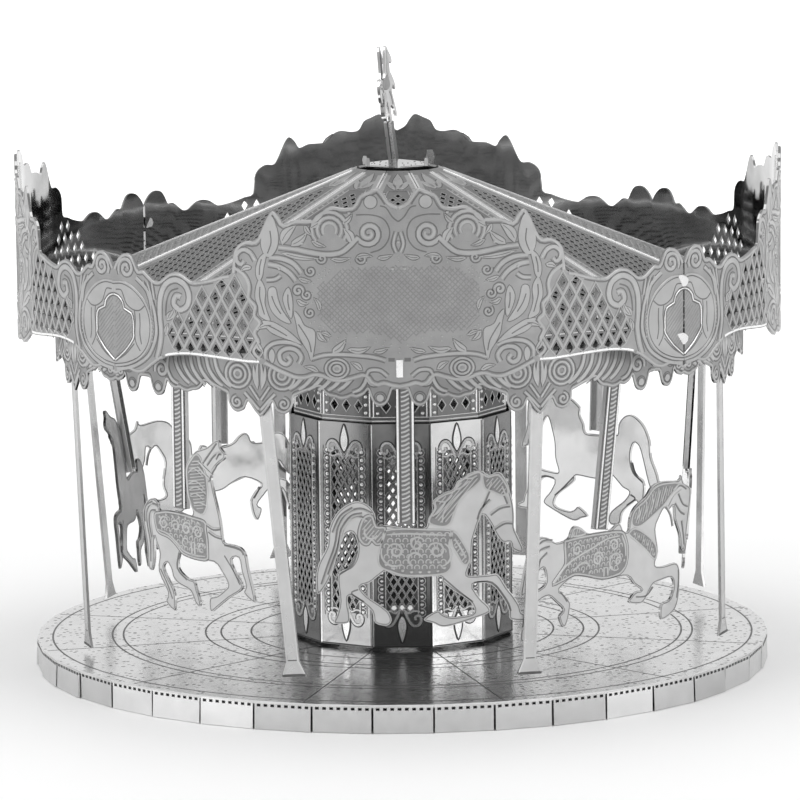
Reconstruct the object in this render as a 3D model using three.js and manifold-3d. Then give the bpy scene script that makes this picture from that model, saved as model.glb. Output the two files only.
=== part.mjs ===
// A table-top carousel folded from thin etched stainless-steel sheet.
// Millimetres, +Z up. The origin is on the turning axis, at the foot of the deck's skirt.
// Azimuth 0 is the front, at -Y, and it grows towards +X. Every piece is placed by azimuth,
// radius and height. "along" is a length measured round a band, or along a flat sheet.
import * as THREE from 'three';
import { mergeVertices } from 'three/addons/utils/BufferGeometryUtils.js';
import Module from 'manifold-3d';

// Driving dimensions
const SHEET = 0.3;
const GAP = 0.3;
const SEAM = 0.2;
const CLOSEST_STOPS = 0.02;

const DECK_RADIUS = 40;
const DECK_TOP = 3;
const FLAPS = 40;
const FLAP_GAP = 0.25;

const SIDES = 12;
const COLUMN_RADIUS = 12.5;
const COLUMN_PANEL_SIDES = 3;
const COLUMN_PANEL_TOP = 27.6;
const SHELF_BOTTOM = 26.5;
const SHELF_RADIUS = 11.9;
const SHELF_HOLE_RADIUS = 9.5;
const FRIEZE_RADIUS = 11.9;
const FRIEZE_TOP = 37.2;
const TOP_PLATE_RADIUS = 12;

const PIN_RADIUS = 1.5;
const PIN_FLANGE_RADIUS = 4;
const PIN_FLANGE_TOP = 38.5;
const PIN_HEAD_RADIUS = 2.6;
const PIN_HEAD_HEIGHT = 1;
const PIN_TOP = 44.2;
const BUSH_BORE = 1.6;
const BUSH_COLLAR_RADIUS = 2;
const BUSH_FLANGE_RADIUS = 6;
const BUSH_FLANGE_HEIGHT = 0.4;
const BUSH_CLEARANCE = 0.1;
const BUSH_BARREL_RADIUS = 3;
const BUSH_TOP = 43;

const CEILING_BOTTOM = 38.9;
const CEILING_RADIUS = 40.6;
const CEILING_HOLE = 2.3;
const CEILING_SIDES = 48;
const ROUND_SIDES = 24;

const ROOF_EAVE_RADIUS = 40;
const ROOF_EAVE = 40;
const ROOF_APEX_RADIUS = 4.6;
const ROOF_APEX = 54;
const ROOF_SHEET_DROP = 0.33;
const CAP_SIDES = 6;
const CAP_RADIUS = 4;
const CAP_RIM = 53.95;
const CAP_TOP = 54.8;

const FASCIA_RADIUS = 41.24;
const FASCIA_SEAM_AZIMUTH = 45;
const VALANCE_RADIUS = 37.2;

const STATIONS = 8;
const POST_RADIUS = 36.7;
const POST_TOP = 35.9;
const POST_FOOT = 4.9;
const POST_WIDTH = 1.4;
const FOOT_WIDTH = 2.8;
const FOOT_HEIGHT = 1.5;
const HORSE_RADIUS = 32.5;
const POLE_WIDTH = 1.9;
const POLE_DEPTH = 0.7;
const POLE_END_GAP = 0.1;

const FINIAL_ASIDE = -0.5;
const FINIAL_POLE_WIDTH = 1.1;
const FINIAL_POLE_DEPTH = 0.8;
const FINIAL_POLE_TOP = 58.6;
const FINIAL_TOP = 66.9;
const FINIAL_DRAWN_HEIGHT = 8.3;
const FINIAL_LEAN = 6.5;
const FINIAL_TURN = 76;

const STEEL_COLOUR = 0xb4b6b8;
const DARK_STEEL_COLOUR = 0x8b8d90;

// Half of a cartouche, then half of a shield: [along, height] from the cartouche's middle
// to the shield's middle. The band mirrors and repeats it.
const FASCIA_TOP = [
  [0, 54.1], [0.9, 54.6], [1.5, 55.5], [2.1, 56.0], [3.1, 55.6], [3.9, 55.2], [4.5, 54.2],
  [5.4, 54.0], [6.6, 54.15], [7.5, 53.8], [8.3, 52.9], [9.4, 52.75], [10.5, 52.7], [11.6, 52.3],
  [12.1, 53.0], [12.8, 53.6], [13.4, 52.9], [14.1, 51.4], [14.7, 50.5], [15.7, 50.5], [16.6, 50.0],
  [17.1, 49.1], [17.3, 47.2], [18.4, 46.85], [19.5, 46.5], [20.6, 46.25], [21.8, 46.1],
  [22.4, 46.35], [23.1, 46.75], [23.9, 46.9], [24.7, 46.75], [25.4, 46.3], [26.0, 45.9],
  [26.7, 45.9], [27.3, 46.3], [28.1, 46.85], [28.8, 46.8], [29.2, 47.5], [29.7, 48.2],
  [30.4, 48.45], [31.2, 48.25], [31.9, 47.6], [32.39, 46.8],
];
const FASCIA_BOTTOM = [
  [0, 35.7], [2.1, 36.1], [3.8, 36.8], [6.7, 36.4], [9.2, 36.7], [11.3, 36.8], [13.7, 37.6],
  [17.5, 38.1], [21.5, 38.4], [24.5, 38.2], [26.2, 37.8], [27.6, 36.9], [28.9, 36.2], [30.9, 36.3],
  [31.8, 35.9], [32.39, 35.7],
];
const CARTOUCHES = 4;
const FASCIA_HALF_REPEAT = Math.PI * FASCIA_RADIUS / CARTOUCHES;

// Half a repeat of the valance's lower edge, from a pair of pendants to a post's diamond pendant.
const VALANCE_BOTTOM = [
  [0, 35.2], [0.9, 34.9], [1.1, 33.9], [2.0, 33.3], [2.9, 33.9], [3.2, 34.9], [3.8, 34.4],
  [5.0, 34.1], [6.4, 34.1], [7.5, 34.5], [8.1, 35.1], [9.5, 34.8], [10.8, 34.3], [11.0, 33.2],
  [11.9, 32.4], [12.8, 32.7], [13.3, 33.4], [14.61, 32.0],
];
const VALANCE_HALF_REPEAT = Math.PI * VALANCE_RADIUS / STATIONS;

// Horse outlines, [along, height], clockwise from the rump, on the flat sheet facing outwards.
const GALLOPING = [
  [-2.5, 20.3], [-1.4, 20.3], [0.3, 20.0], [1.8, 19.9], [2.6, 20.1], [2.8, 21.0], [3.4, 22.0],
  [3.3, 22.8], [4.4, 23.6], [5.4, 24.0], [5.8, 24.8], [6.5, 25.1], [7.0, 25.6], [8.2, 25.9],
  [9.0, 25.4], [10.1, 25.7], [10.9, 24.6], [11.2, 23.6], [11.5, 22.3], [11.6, 21.0], [11.6, 19.9],
  [12.0, 18.9], [12.5, 17.7], [12.3, 17.3], [11.4, 17.7], [11.2, 18.4], [10.4, 18.4], [9.7, 19.3],
  [9.1, 20.5], [8.3, 21.3], [7.6, 19.5], [7.3, 18.3], [7.2, 16.6], [6.7, 15.2], [7.1, 14.9],
  [9.0, 15.0], [9.9, 15.0], [10.8, 13.6], [11.5, 12.7], [12.1, 11.7], [12.3, 11.0], [13.0, 10.7],
  [13.0, 10.2], [11.2, 10.3], [11.0, 11.2], [10.6, 12.2], [9.2, 14.0], [7.3, 14.0], [8.0, 12.6],
  [8.8, 11.8], [9.0, 11.1], [7.6, 10.5], [5.4, 9.8], [4.1, 9.6], [3.2, 10.0], [2.2, 10.4],
  [3.6, 11.3], [4.2, 10.9], [5.2, 10.6], [7.2, 10.9], [7.4, 11.6], [6.8, 12.4], [5.3, 13.4],
  [4.2, 14.3], [3.9, 14.9], [1.0, 14.8], [-0.8, 15.1], [-1.6, 15.5], [-2.4, 15.0], [-3.3, 14.3],
  [-4.3, 13.9], [-3.6, 12.9], [-2.2, 11.9], [-1.4, 11.2], [-1.1, 10.3], [-1.6, 9.8], [-2.8, 10.1],
  [-3.1, 11.3], [-4.2, 12.3], [-5.4, 13.0], [-5.6, 12.2], [-5.4, 10.9], [-5.6, 10.1], [-7.0, 10.1],
  [-6.7, 11.0], [-6.4, 12.4], [-6.6, 14.6], [-6.3, 15.5], [-5.2, 16.0], [-4.6, 17.0], [-4.5, 18.4],
  [-5.0, 19.6], [-5.8, 19.3], [-6.4, 17.8], [-7.2, 15.3], [-8.0, 13.8], [-8.7, 13.2], [-8.8, 15.0],
  [-8.5, 16.4], [-7.6, 18.2], [-7.4, 20.0], [-6.6, 21.6], [-5.5, 22.5], [-4.4, 22.8], [-3.4, 22.4],
  [-2.7, 21.5],
];
const REARING = [
  [-3.2, 20.0], [-1.6, 20.3], [0.0, 20.2], [1.4, 20.0], [1.9, 20.4], [1.5, 21.3], [1.1, 22.2],
  [0.9, 23.6], [0.9, 25.1], [1.4, 25.9], [2.4, 26.9], [3.2, 27.2], [4.3, 27.6], [5.5, 28.4],
  [6.1, 28.3], [6.2, 27.7], [6.8, 27.2], [6.8, 26.6], [6.0, 26.1], [5.2, 25.4], [4.8, 24.6],
  [5.0, 23.3], [5.9, 20.6], [6.2, 19.2], [6.5, 17.8], [7.8, 17.7], [9.1, 17.5], [9.8, 16.8],
  [10.2, 15.2], [11.0, 12.8], [11.0, 12.0], [9.5, 12.8], [9.8, 13.6], [9.2, 15.0], [8.8, 16.4],
  [7.6, 16.1], [8.3, 14.7], [9.1, 13.9], [9.1, 13.1], [7.2, 12.0], [5.6, 10.9], [4.4, 10.2],
  [4.3, 11.6], [5.4, 12.0], [6.6, 12.8], [7.1, 13.4], [6.2, 14.6], [5.0, 15.5], [2.2, 15.4],
  [1.0, 15.6], [-0.1, 16.2], [-0.5, 14.3], [0.9, 13.3], [1.9, 13.1], [2.3, 12.2], [2.8, 11.0],
  [2.6, 10.5], [2.0, 10.9], [1.3, 12.0], [-0.4, 12.5], [-1.3, 13.1], [-1.6, 13.9], [-2.2, 14.6],
  [-2.8, 14.1], [-2.4, 13.2], [-1.3, 11.8], [-1.1, 10.6], [-1.3, 9.6], [-2.5, 10.4], [-2.2, 11.4],
  [-3.6, 13.5], [-3.4, 15.4], [-3.9, 16.6], [-4.2, 17.2], [-4.2, 15.0], [-4.6, 13.5], [-5.2, 13.9],
  [-5.3, 15.8], [-5.8, 18.3], [-5.9, 19.4], [-5.5, 20.5], [-4.8, 21.1], [-4.1, 21.2], [-3.5, 20.8],
];
const LEAPING = [
  [-9.9, 17.8], [-8.2, 18.0], [-7.7, 18.8], [-7.1, 19.2], [-6.2, 18.9], [-5.4, 18.3], [-4.0, 18.0],
  [-1.9, 18.0], [-0.8, 18.5], [-0.2, 18.5], [0.3, 17.7], [1.1, 17.6], [1.3, 18.9], [2.1, 20.0],
  [3.8, 20.9], [4.6, 21.7], [5.6, 22.1], [6.8, 22.2], [9.0, 22.0], [9.4, 22.5], [9.8, 21.6],
  [10.7, 21.1], [10.9, 20.2], [10.3, 16.6], [9.9, 14.6], [9.4, 14.6], [9.1, 16.2], [8.4, 17.9],
  [8.2, 19.4], [7.4, 19.0], [6.7, 19.3], [5.9, 18.4], [5.3, 17.2], [5.7, 14.8], [5.2, 13.4],
  [6.6, 13.1], [8.4, 13.2], [9.0, 12.6], [9.1, 11.5], [8.9, 9.3], [8.1, 8.0], [6.2, 7.4],
  [6.2, 9.0], [7.4, 9.3], [7.9, 9.9], [8.2, 10.8], [7.8, 11.7], [6.0, 11.6], [4.8, 11.3],
  [3.6, 9.9], [2.7, 9.6], [1.1, 10.0], [2.1, 10.9], [3.2, 11.0], [2.0, 11.8], [0.9, 12.8],
  [-1.4, 12.9], [-3.4, 13.0], [-5.0, 13.6], [-7.0, 14.0], [-9.6, 12.9], [-8.8, 12.2], [-8.0, 11.3],
  [-8.0, 10.6], [-8.4, 9.3], [-9.0, 8.8], [-9.6, 10.0], [-8.9, 10.6], [-10.0, 11.6], [-11.2, 12.4],
  [-12.6, 12.1], [-13.3, 11.4], [-14.1, 9.3], [-14.2, 8.2], [-15.4, 8.3], [-15.3, 9.4],
  [-14.7, 10.0], [-14.4, 11.6], [-13.6, 12.9], [-11.9, 13.5], [-11.5, 14.2], [-11.8, 15.4],
  [-12.6, 15.2], [-13.4, 14.2], [-15.2, 12.9], [-15.1, 14.2], [-14.4, 16.6], [-13.5, 18.1],
  [-12.3, 18.7], [-11.2, 18.5],
];

// One entry for each horse: its design, how far its sheet is raised, and its pole. The pole meets
// the saddle at poleAlong and poleFoot, and leans by poleLean degrees in the sheet's plane. Horse and
// pole together hang from the ceiling, turned by turn degrees and swung inwards by inward degrees.
const HORSES = [
  { azimuth: 0, outline: GALLOPING, rise: 0, poleAlong: 0.5, poleFoot: 20.4, poleLean: 0 },
  { azimuth: 45, outline: LEAPING, rise: 0, poleAlong: -3.1, poleFoot: 18.3, poleLean: -8 },
  { azimuth: 90, outline: REARING, rise: 0, inward: 3.5, poleAlong: -0.2, poleFoot: 20.6, poleLean: 0 },
  { azimuth: 135, outline: GALLOPING, rise: 0.7, poleAlong: 0.5, poleFoot: 21.1, poleLean: 2 },
  { azimuth: 180, outline: GALLOPING, rise: 0.6, poleAlong: 0.5, poleFoot: 21.0, poleLean: 0 },
  { azimuth: -135, outline: LEAPING, rise: 1.4, poleAlong: -3.1, poleFoot: 19.7, poleLean: 0 },
  { azimuth: -90, outline: REARING, rise: 0, turn: -10, inward: 9, poleAlong: -0.2, poleFoot: 20.6, poleLean: 0 },
  { azimuth: -45, outline: REARING, rise: 0, poleAlong: -0.2, poleFoot: 20.6, poleLean: 0 },
];

// The hand-folded posts hang a little out of true: degrees aside, and degrees inwards, at the foot.
// One reaches lower than the rest, by its drop.
const POSTS = [
  { azimuth: 22.5, aside: -2.1, inward: 0 },
  { azimuth: 67.5, aside: 0, inward: -0.6 },
  { azimuth: 112.5, aside: 0, inward: 0.8 },
  { azimuth: 157.5, aside: 0, inward: 0 },
  { azimuth: -157.5, aside: 0, inward: 0 },
  { azimuth: -107.5, aside: 0, inward: 4.6 },
  { azimuth: -71.5, aside: 0, inward: 2, drop: 1.2 },
  { azimuth: -22.5, aside: 5.9, inward: 0 },
];

// The flat prancing figure on the finial: [along, height] from the foot of the plate.
const FINIAL_OUTLINE = [
  [-0.4, 0], [0.4, 0], [0.5, 1.6], [1.8, 1.2], [2.4, 0.2], [2.9, 0.5], [2.4, 1.9], [1.9, 3.0],
  [2.6, 3.8], [3.4, 3.2], [3.7, 3.7], [2.7, 4.9], [2.1, 5.4], [2.3, 6.4], [3.2, 6.2], [3.4, 6.8],
  [2.4, 7.7], [1.7, 8.3], [1.0, 8.0], [0.4, 6.6], [-0.4, 5.0], [-1.6, 4.7], [-2.4, 4.9],
  [-3.3, 4.1], [-3.4, 2.6], [-2.8, 2.4], [-2.5, 3.4], [-2.1, 2.6], [-2.7, 1.2], [-2.0, 0.4],
  [-1.5, 1.6], [-0.6, 2.2],
];

const rad = THREE.MathUtils.degToRad;
const wasm = await Module();
wasm.setup();

const group = new THREE.Group();

function steel(colour = STEEL_COLOUR, roughness = 0.35) {
  return new THREE.MeshStandardMaterial({ color: colour, roughness, metalness: 1 });
}

function addPiece(name, geometry, parent = group, material = steel()) {
  const mesh = new THREE.Mesh(geometry, material);
  mesh.name = name;
  parent.add(mesh);
  return mesh;
}

// A group whose -Y side is turned to an azimuth, so that pieces inside it are drawn as if in front.
function stationAt(azimuth) {
  const station = new THREE.Group();
  station.rotation.z = rad(azimuth);
  group.add(station);
  return station;
}

function onCircle(radius, azimuth, height) {
  return [radius * Math.sin(rad(azimuth)), -radius * Math.cos(rad(azimuth)), height];
}

// One closed body between two skins. Each skin is a row of [lower, upper] points, azimuth growing.
function sheetBetween(outer, inner) {
  const positions = [];
  const quad = (a, b, c, d) => positions.push(...a, ...b, ...c, ...a, ...c, ...d);
  for (let i = 0; i < outer.length - 1; i += 1) {
    const [outerLow, outerHigh] = outer[i];
    const [nextOuterLow, nextOuterHigh] = outer[i + 1];
    const [innerLow, innerHigh] = inner[i];
    const [nextInnerLow, nextInnerHigh] = inner[i + 1];
    quad(outerLow, nextOuterLow, nextOuterHigh, outerHigh);
    quad(innerLow, innerHigh, nextInnerHigh, nextInnerLow);
    quad(outerHigh, nextOuterHigh, nextInnerHigh, innerHigh);
    quad(outerLow, innerLow, nextInnerLow, nextOuterLow);
  }
  const last = outer.length - 1;
  quad(inner[0][0], outer[0][0], outer[0][1], inner[0][1]);
  quad(outer[last][0], inner[last][0], inner[last][1], outer[last][1]);
  const geometry = new THREE.BufferGeometry();
  geometry.setAttribute('position', new THREE.Float32BufferAttribute(positions, 3));
  return geometry;
}

function heightOn(edge, along) {
  const next = edge.findIndex(([position]) => position >= along);
  if (next <= 0) {
    return edge[next === 0 ? 0 : edge.length - 1][1];
  }
  const [fromAlong, fromHeight] = edge[next - 1];
  const [toAlong, toHeight] = edge[next];
  return THREE.MathUtils.mapLinear(along, fromAlong, toAlong, fromHeight, toHeight);
}

// A round band whose edges mirror and repeat every halfRepeat of arc, between two azimuths.
function bandSheet(radius, topEdge, bottomEdge, halfRepeat, fromAzimuth, toAzimuth) {
  const arcPerDegree = rad(radius);
  const fold = (along) => {
    const wrapped = Math.abs(along) % (2 * halfRepeat);
    return wrapped > halfRepeat ? 2 * halfRepeat - wrapped : wrapped;
  };
  const start = fromAzimuth * arcPerDegree + SEAM;
  const end = toAzimuth * arcPerDegree - SEAM;
  const stops = new Set([start, end]);
  const edgePoints = [...topEdge, ...bottomEdge].map(([position]) => Math.min(position, halfRepeat));
  const firstRepeat = Math.floor(start / halfRepeat / 2) - 1;
  const lastRepeat = Math.ceil(end / halfRepeat / 2) + 1;
  for (let repeat = firstRepeat; repeat <= lastRepeat; repeat += 1) {
    for (const position of edgePoints) {
      for (const side of [-1, 1]) {
        stops.add(Number((repeat * 2 * halfRepeat + side * position).toFixed(3)));
      }
    }
  }
  const columns = [...stops].filter((along) => along >= start && along <= end).sort((a, b) => a - b);
  const spaced = columns.filter((along, i) => i === 0 || along - columns[i - 1] > CLOSEST_STOPS);
  const skin = (skinRadius) => spaced.map((along) => {
    const azimuth = along / arcPerDegree;
    const folded = fold(along);
    return [
      onCircle(skinRadius, azimuth, heightOn(bottomEdge, folded)),
      onCircle(skinRadius, azimuth, heightOn(topEdge, folded)),
    ];
  });
  return sheetBetween(skin(radius + SHEET / 2), skin(radius - SHEET / 2));
}

// A folded run of flat facets between two corners, standing upright or sloping to an upper radius.
function facetSheet(low, high, firstCorner, sides, thicknessIn) {
  const pitch = 360 / SIDES;
  const corner = (radius, height, index) => {
    const azimuth = firstCorner + index * pitch;
    const point = onCircle(radius, azimuth, height);
    const trim = index === 0 ? SEAM : index === sides ? -SEAM : 0;
    return [point[0] + trim * Math.cos(rad(azimuth)), point[1] + trim * Math.sin(rad(azimuth)), point[2]];
  };
  const skin = (offset) => Array.from({ length: sides + 1 }, (_, index) => [
    corner(low.radius - offset.radius, low.height - offset.height, index),
    corner(high.radius - offset.radius, high.height - offset.height, index),
  ]);
  return sheetBetween(skin({ radius: 0, height: 0 }), skin(thicknessIn));
}

function polygonShape(sides, radius, holeRadius = 0, holeSides = sides) {
  const corners = (count, size) => Array.from({ length: count }, (_, index) => {
    const angle = (index + 0.5) / count * 2 * Math.PI;
    return new THREE.Vector2(size * Math.sin(angle), -size * Math.cos(angle));
  });
  const shape = new THREE.Shape(corners(sides, radius));
  if (holeRadius > 0) {
    shape.holes.push(new THREE.Path(corners(holeSides, holeRadius)));
  }
  return shape;
}

function flatPlate(shape, bottom, thickness = SHEET) {
  const geometry = new THREE.ExtrudeGeometry(shape, { depth: thickness, bevelEnabled: false });
  return geometry.translate(0, 0, bottom);
}

// A flat sheet standing on edge, facing -Y, from an outline of [along, height].
function uprightPlate(outline, thickness = SHEET) {
  const shape = new THREE.Shape(outline.map(([along, height]) => new THREE.Vector2(along, height)));
  const geometry = new THREE.ExtrudeGeometry(shape, { depth: thickness, bevelEnabled: false });
  return geometry.translate(0, 0, -thickness / 2).rotateX(Math.PI / 2);
}

function toSolid(geometry) {
  const plain = geometry.index ? geometry.clone() : geometry;
  plain.deleteAttribute('normal');
  plain.deleteAttribute('uv');
  const merged = mergeVertices(plain);
  const mesh = new wasm.Mesh({
    numProp: 3,
    vertProperties: new Float32Array(merged.attributes.position.array),
    triVerts: new Uint32Array(merged.index.array),
  });
  return new wasm.Manifold(mesh);
}

function fromSolid(solid) {
  const mesh = solid.getMesh();
  const geometry = new THREE.BufferGeometry();
  geometry.setAttribute('position', new THREE.BufferAttribute(new Float32Array(mesh.vertProperties), 3));
  geometry.setIndex(new THREE.BufferAttribute(new Uint32Array(mesh.triVerts), 1));
  return geometry;
}

// Base: the round deck with its skirt of folded flaps

function deck() {
  let solid = toSolid(flatPlate(polygonShape(FLAPS, DECK_RADIUS), DECK_TOP - SHEET));
  const flatRadius = DECK_RADIUS * Math.cos(Math.PI / FLAPS);
  const flapWidth = 2 * DECK_RADIUS * Math.sin(Math.PI / FLAPS) - FLAP_GAP;
  const flapHeight = DECK_TOP - SHEET / 2;
  for (let index = 0; index < FLAPS; index += 1) {
    const flap = new THREE.BoxGeometry(flapWidth, SHEET, flapHeight);
    flap.translate(0, -flatRadius + SHEET / 2, flapHeight / 2).rotateZ(index / FLAPS * 2 * Math.PI);
    solid = solid.add(toSolid(flap));
  }
  return fromSolid(solid);
}
addPiece('deck', deck());

// Base: the twelve-sided column, its shelf, frieze and top plate

for (let panel = 0; panel < SIDES / COLUMN_PANEL_SIDES; panel += 1) {
  const firstCorner = 360 / SIDES * (panel * COLUMN_PANEL_SIDES - COLUMN_PANEL_SIDES / 2);
  const low = { radius: COLUMN_RADIUS, height: DECK_TOP + GAP };
  const high = { radius: COLUMN_RADIUS, height: COLUMN_PANEL_TOP };
  const geometry = facetSheet(low, high, firstCorner, COLUMN_PANEL_SIDES, { radius: SHEET, height: 0 });
  addPiece(`column_panel_${panel + 1}`, geometry);
}

const FRIEZE_BOTTOM = SHELF_BOTTOM + SHEET + GAP;
const shelfShape = polygonShape(SIDES, SHELF_RADIUS, SHELF_HOLE_RADIUS);
addPiece('column_shelf', flatPlate(shelfShape, SHELF_BOTTOM));
const friezeShape = polygonShape(SIDES, FRIEZE_RADIUS, FRIEZE_RADIUS - SHEET);
addPiece('column_frieze', flatPlate(friezeShape, FRIEZE_BOTTOM, FRIEZE_TOP - FRIEZE_BOTTOM));
addPiece('column_top_plate', flatPlate(polygonShape(SIDES, TOP_PLATE_RADIUS), FRIEZE_TOP + GAP));

// The pivot: a headed pin on the column, and the bush that the canopy turns on

function turned(profile, segments = ROUND_SIDES) {
  const points = profile.map(([radius, height]) => new THREE.Vector2(radius, height));
  return new THREE.LatheGeometry(points, segments).rotateX(Math.PI / 2);
}

const pinFoot = FRIEZE_TOP + 2 * GAP + SHEET;
addPiece('pivot_pin', turned([
  [0, pinFoot], [PIN_FLANGE_RADIUS, pinFoot], [PIN_FLANGE_RADIUS, PIN_FLANGE_TOP],
  [PIN_RADIUS, PIN_FLANGE_TOP], [PIN_RADIUS, PIN_TOP - PIN_HEAD_HEIGHT],
  [PIN_HEAD_RADIUS, PIN_TOP - PIN_HEAD_HEIGHT], [PIN_HEAD_RADIUS, PIN_TOP], [0, PIN_TOP],
]), group, steel(DARK_STEEL_COLOUR));

const bushBottom = PIN_FLANGE_TOP + BUSH_CLEARANCE;
const bushFlange = CEILING_BOTTOM + SHEET + GAP;
const bushFlangeTop = bushFlange + BUSH_FLANGE_HEIGHT;
addPiece('hub_bush', turned([
  [BUSH_BORE, bushBottom], [BUSH_COLLAR_RADIUS, bushBottom], [BUSH_COLLAR_RADIUS, bushFlange],
  [BUSH_FLANGE_RADIUS, bushFlange], [BUSH_FLANGE_RADIUS, bushFlangeTop],
  [BUSH_BARREL_RADIUS, bushFlangeTop], [BUSH_BARREL_RADIUS, BUSH_TOP], [BUSH_BORE, BUSH_TOP],
  [BUSH_BORE, bushBottom],
]), group, steel(DARK_STEEL_COLOUR));

// Canopy: ceiling, roof, cap and finial

const ceilingShape = polygonShape(CEILING_SIDES, CEILING_RADIUS, CEILING_HOLE, ROUND_SIDES);
addPiece('ceiling_plate', flatPlate(ceilingShape, CEILING_BOTTOM));

const roofThickness = { radius: 0, height: ROOF_SHEET_DROP };
for (const [index, firstCorner] of [-135, 45].entries()) {
  const low = { radius: ROOF_EAVE_RADIUS, height: ROOF_EAVE };
  const high = { radius: ROOF_APEX_RADIUS, height: ROOF_APEX };
  const geometry = facetSheet(low, high, firstCorner, SIDES / 2, roofThickness);
  addPiece(`roof_half_${index + 1}`, geometry, group, steel(DARK_STEEL_COLOUR));
}

addPiece('roof_cap', turned([
  [0, CAP_TOP - SHEET], [CAP_RADIUS, CAP_RIM], [CAP_RADIUS, CAP_RIM + SHEET], [0, CAP_TOP],
], CAP_SIDES));

// A strip folded to a channel, open inwards, from bottom to top.
function channel(width, depth, bottom, top) {
  const half = width / 2;
  const shape = new THREE.Shape([
    [-half, 0], [half, 0], [half, depth], [half - SHEET, depth], [half - SHEET, SHEET],
    [-half + SHEET, SHEET], [-half + SHEET, depth], [-half, depth],
  ].map(([x, y]) => new THREE.Vector2(x, y)));
  return flatPlate(shape, bottom, top - bottom);
}

const finial = new THREE.Group();
finial.position.set(FINIAL_ASIDE, 0, CAP_TOP + GAP);
finial.rotation.y = rad(-FINIAL_LEAN);
group.add(finial);
const finialPoleLength = FINIAL_POLE_TOP - CAP_TOP;
const finialChannel = channel(FINIAL_POLE_WIDTH, FINIAL_POLE_DEPTH, 0, finialPoleLength);
addPiece('finial_pole', finialChannel, finial);
const figureScale = (FINIAL_TOP - FINIAL_POLE_TOP - GAP) / FINIAL_DRAWN_HEIGHT;
const figureOutline = FINIAL_OUTLINE.map(([along, height]) => [along * figureScale, height * figureScale]);
const figure = addPiece('finial_figure', uprightPlate(figureOutline), finial);
figure.rotation.z = rad(FINIAL_TURN);
figure.position.z = finialPoleLength + GAP;

// Canopy: the fascia band in two strips, and the valance ring in two strips inside it

const ceilingEdge = [[0, CEILING_BOTTOM - GAP], [VALANCE_HALF_REPEAT, CEILING_BOTTOM - GAP]];
for (const [index, seam] of [FASCIA_SEAM_AZIMUTH - 180, FASCIA_SEAM_AZIMUTH].entries()) {
  const fascia = bandSheet(FASCIA_RADIUS, FASCIA_TOP, FASCIA_BOTTOM, FASCIA_HALF_REPEAT, seam, seam + 180);
  addPiece(`fascia_strip_${index + 1}`, fascia);
  const edges = [ceilingEdge, VALANCE_BOTTOM];
  const valance = bandSheet(VALANCE_RADIUS, ...edges, VALANCE_HALF_REPEAT, seam, seam + 180);
  addPiece(`valance_strip_${index + 1}`, valance);
}

// Canopy: posts, horses and their poles

function postOutline(foot) {
  return [
    [-POST_WIDTH / 2, 0], [-POST_WIDTH / 2, foot + FOOT_HEIGHT], [-FOOT_WIDTH / 2, foot],
    [FOOT_WIDTH / 2, foot], [POST_WIDTH / 2, foot + FOOT_HEIGHT], [POST_WIDTH / 2, 0],
  ];
}

for (const [index, { azimuth, aside, inward, drop = 0 }] of POSTS.entries()) {
  const outline = postOutline(POST_FOOT - drop - POST_TOP);
  const post = addPiece(`post_${index + 1}`, uprightPlate(outline), stationAt(azimuth));
  post.position.set(0, -POST_RADIUS, POST_TOP);
  post.rotation.set(rad(inward), rad(-aside), 0);
}

for (const [index, horse] of HORSES.entries()) {
  const station = stationAt(horse.azimuth);
  const hanger = new THREE.Group();
  hanger.position.set(horse.poleAlong, -HORSE_RADIUS, CEILING_BOTTOM - GAP);
  hanger.rotation.set(rad(horse.inward ?? 0), 0, rad(horse.turn ?? 0));
  station.add(hanger);
  const stand = new THREE.Group();
  stand.position.z = GAP - CEILING_BOTTOM;
  hanger.add(stand);
  const sheet = addPiece(`horse_${index + 1}`, uprightPlate(horse.outline), stand);
  sheet.position.set(-horse.poleAlong, 0, horse.rise);
  const poleHeight = CEILING_BOTTOM - GAP - horse.poleFoot;
  const poleLength = poleHeight / Math.cos(rad(horse.poleLean)) - POLE_END_GAP;
  const pole = addPiece(`pole_${index + 1}`, channel(POLE_WIDTH, POLE_DEPTH, 0, poleLength), stand);
  pole.position.set(0, -SHEET / 2, horse.poleFoot);
  pole.rotation.y = rad(-horse.poleLean);
}

export default group;
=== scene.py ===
import math
import random

import bpy
import numpy as np
from mathutils import Matrix, Vector
from mathutils.geometry import delaunay_2d_cdt


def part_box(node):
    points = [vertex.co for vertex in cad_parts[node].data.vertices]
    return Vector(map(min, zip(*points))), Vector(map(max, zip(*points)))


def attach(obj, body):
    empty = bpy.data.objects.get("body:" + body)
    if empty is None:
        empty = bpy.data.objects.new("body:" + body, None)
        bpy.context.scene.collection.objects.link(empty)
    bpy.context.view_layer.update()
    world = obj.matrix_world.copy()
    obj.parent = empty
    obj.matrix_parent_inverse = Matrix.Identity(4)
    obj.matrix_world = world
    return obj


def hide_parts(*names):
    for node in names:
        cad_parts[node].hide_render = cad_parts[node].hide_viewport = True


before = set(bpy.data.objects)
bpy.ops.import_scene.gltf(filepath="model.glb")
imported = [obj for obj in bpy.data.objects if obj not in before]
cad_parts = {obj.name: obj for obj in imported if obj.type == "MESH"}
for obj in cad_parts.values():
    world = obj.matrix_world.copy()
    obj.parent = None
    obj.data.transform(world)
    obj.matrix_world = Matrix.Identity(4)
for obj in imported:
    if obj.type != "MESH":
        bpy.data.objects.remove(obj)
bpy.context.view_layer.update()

# A table-top carousel of thin etched steel sheet. Flat designs are drawn in millimetres, as
# [along, height] on the unrolled sheet, and then bent into place. Azimuth 0 is the front, at -Y,
# and grows towards +X. Blender's own units are metres.

MM = 0.001

# The materials that a piece's faces can have. The last three are painted light: darker and brighter copies
# of a sheet's steel that stand for painted shade, painted half light and painted highlight.
FRONT, BACK, LIGHT, LINE, BRIGHT, ETCH, PAINTED_SHADE, PAINTED_HALF_LIGHT, PAINTED_HIGHLIGHT = range(9)

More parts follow.
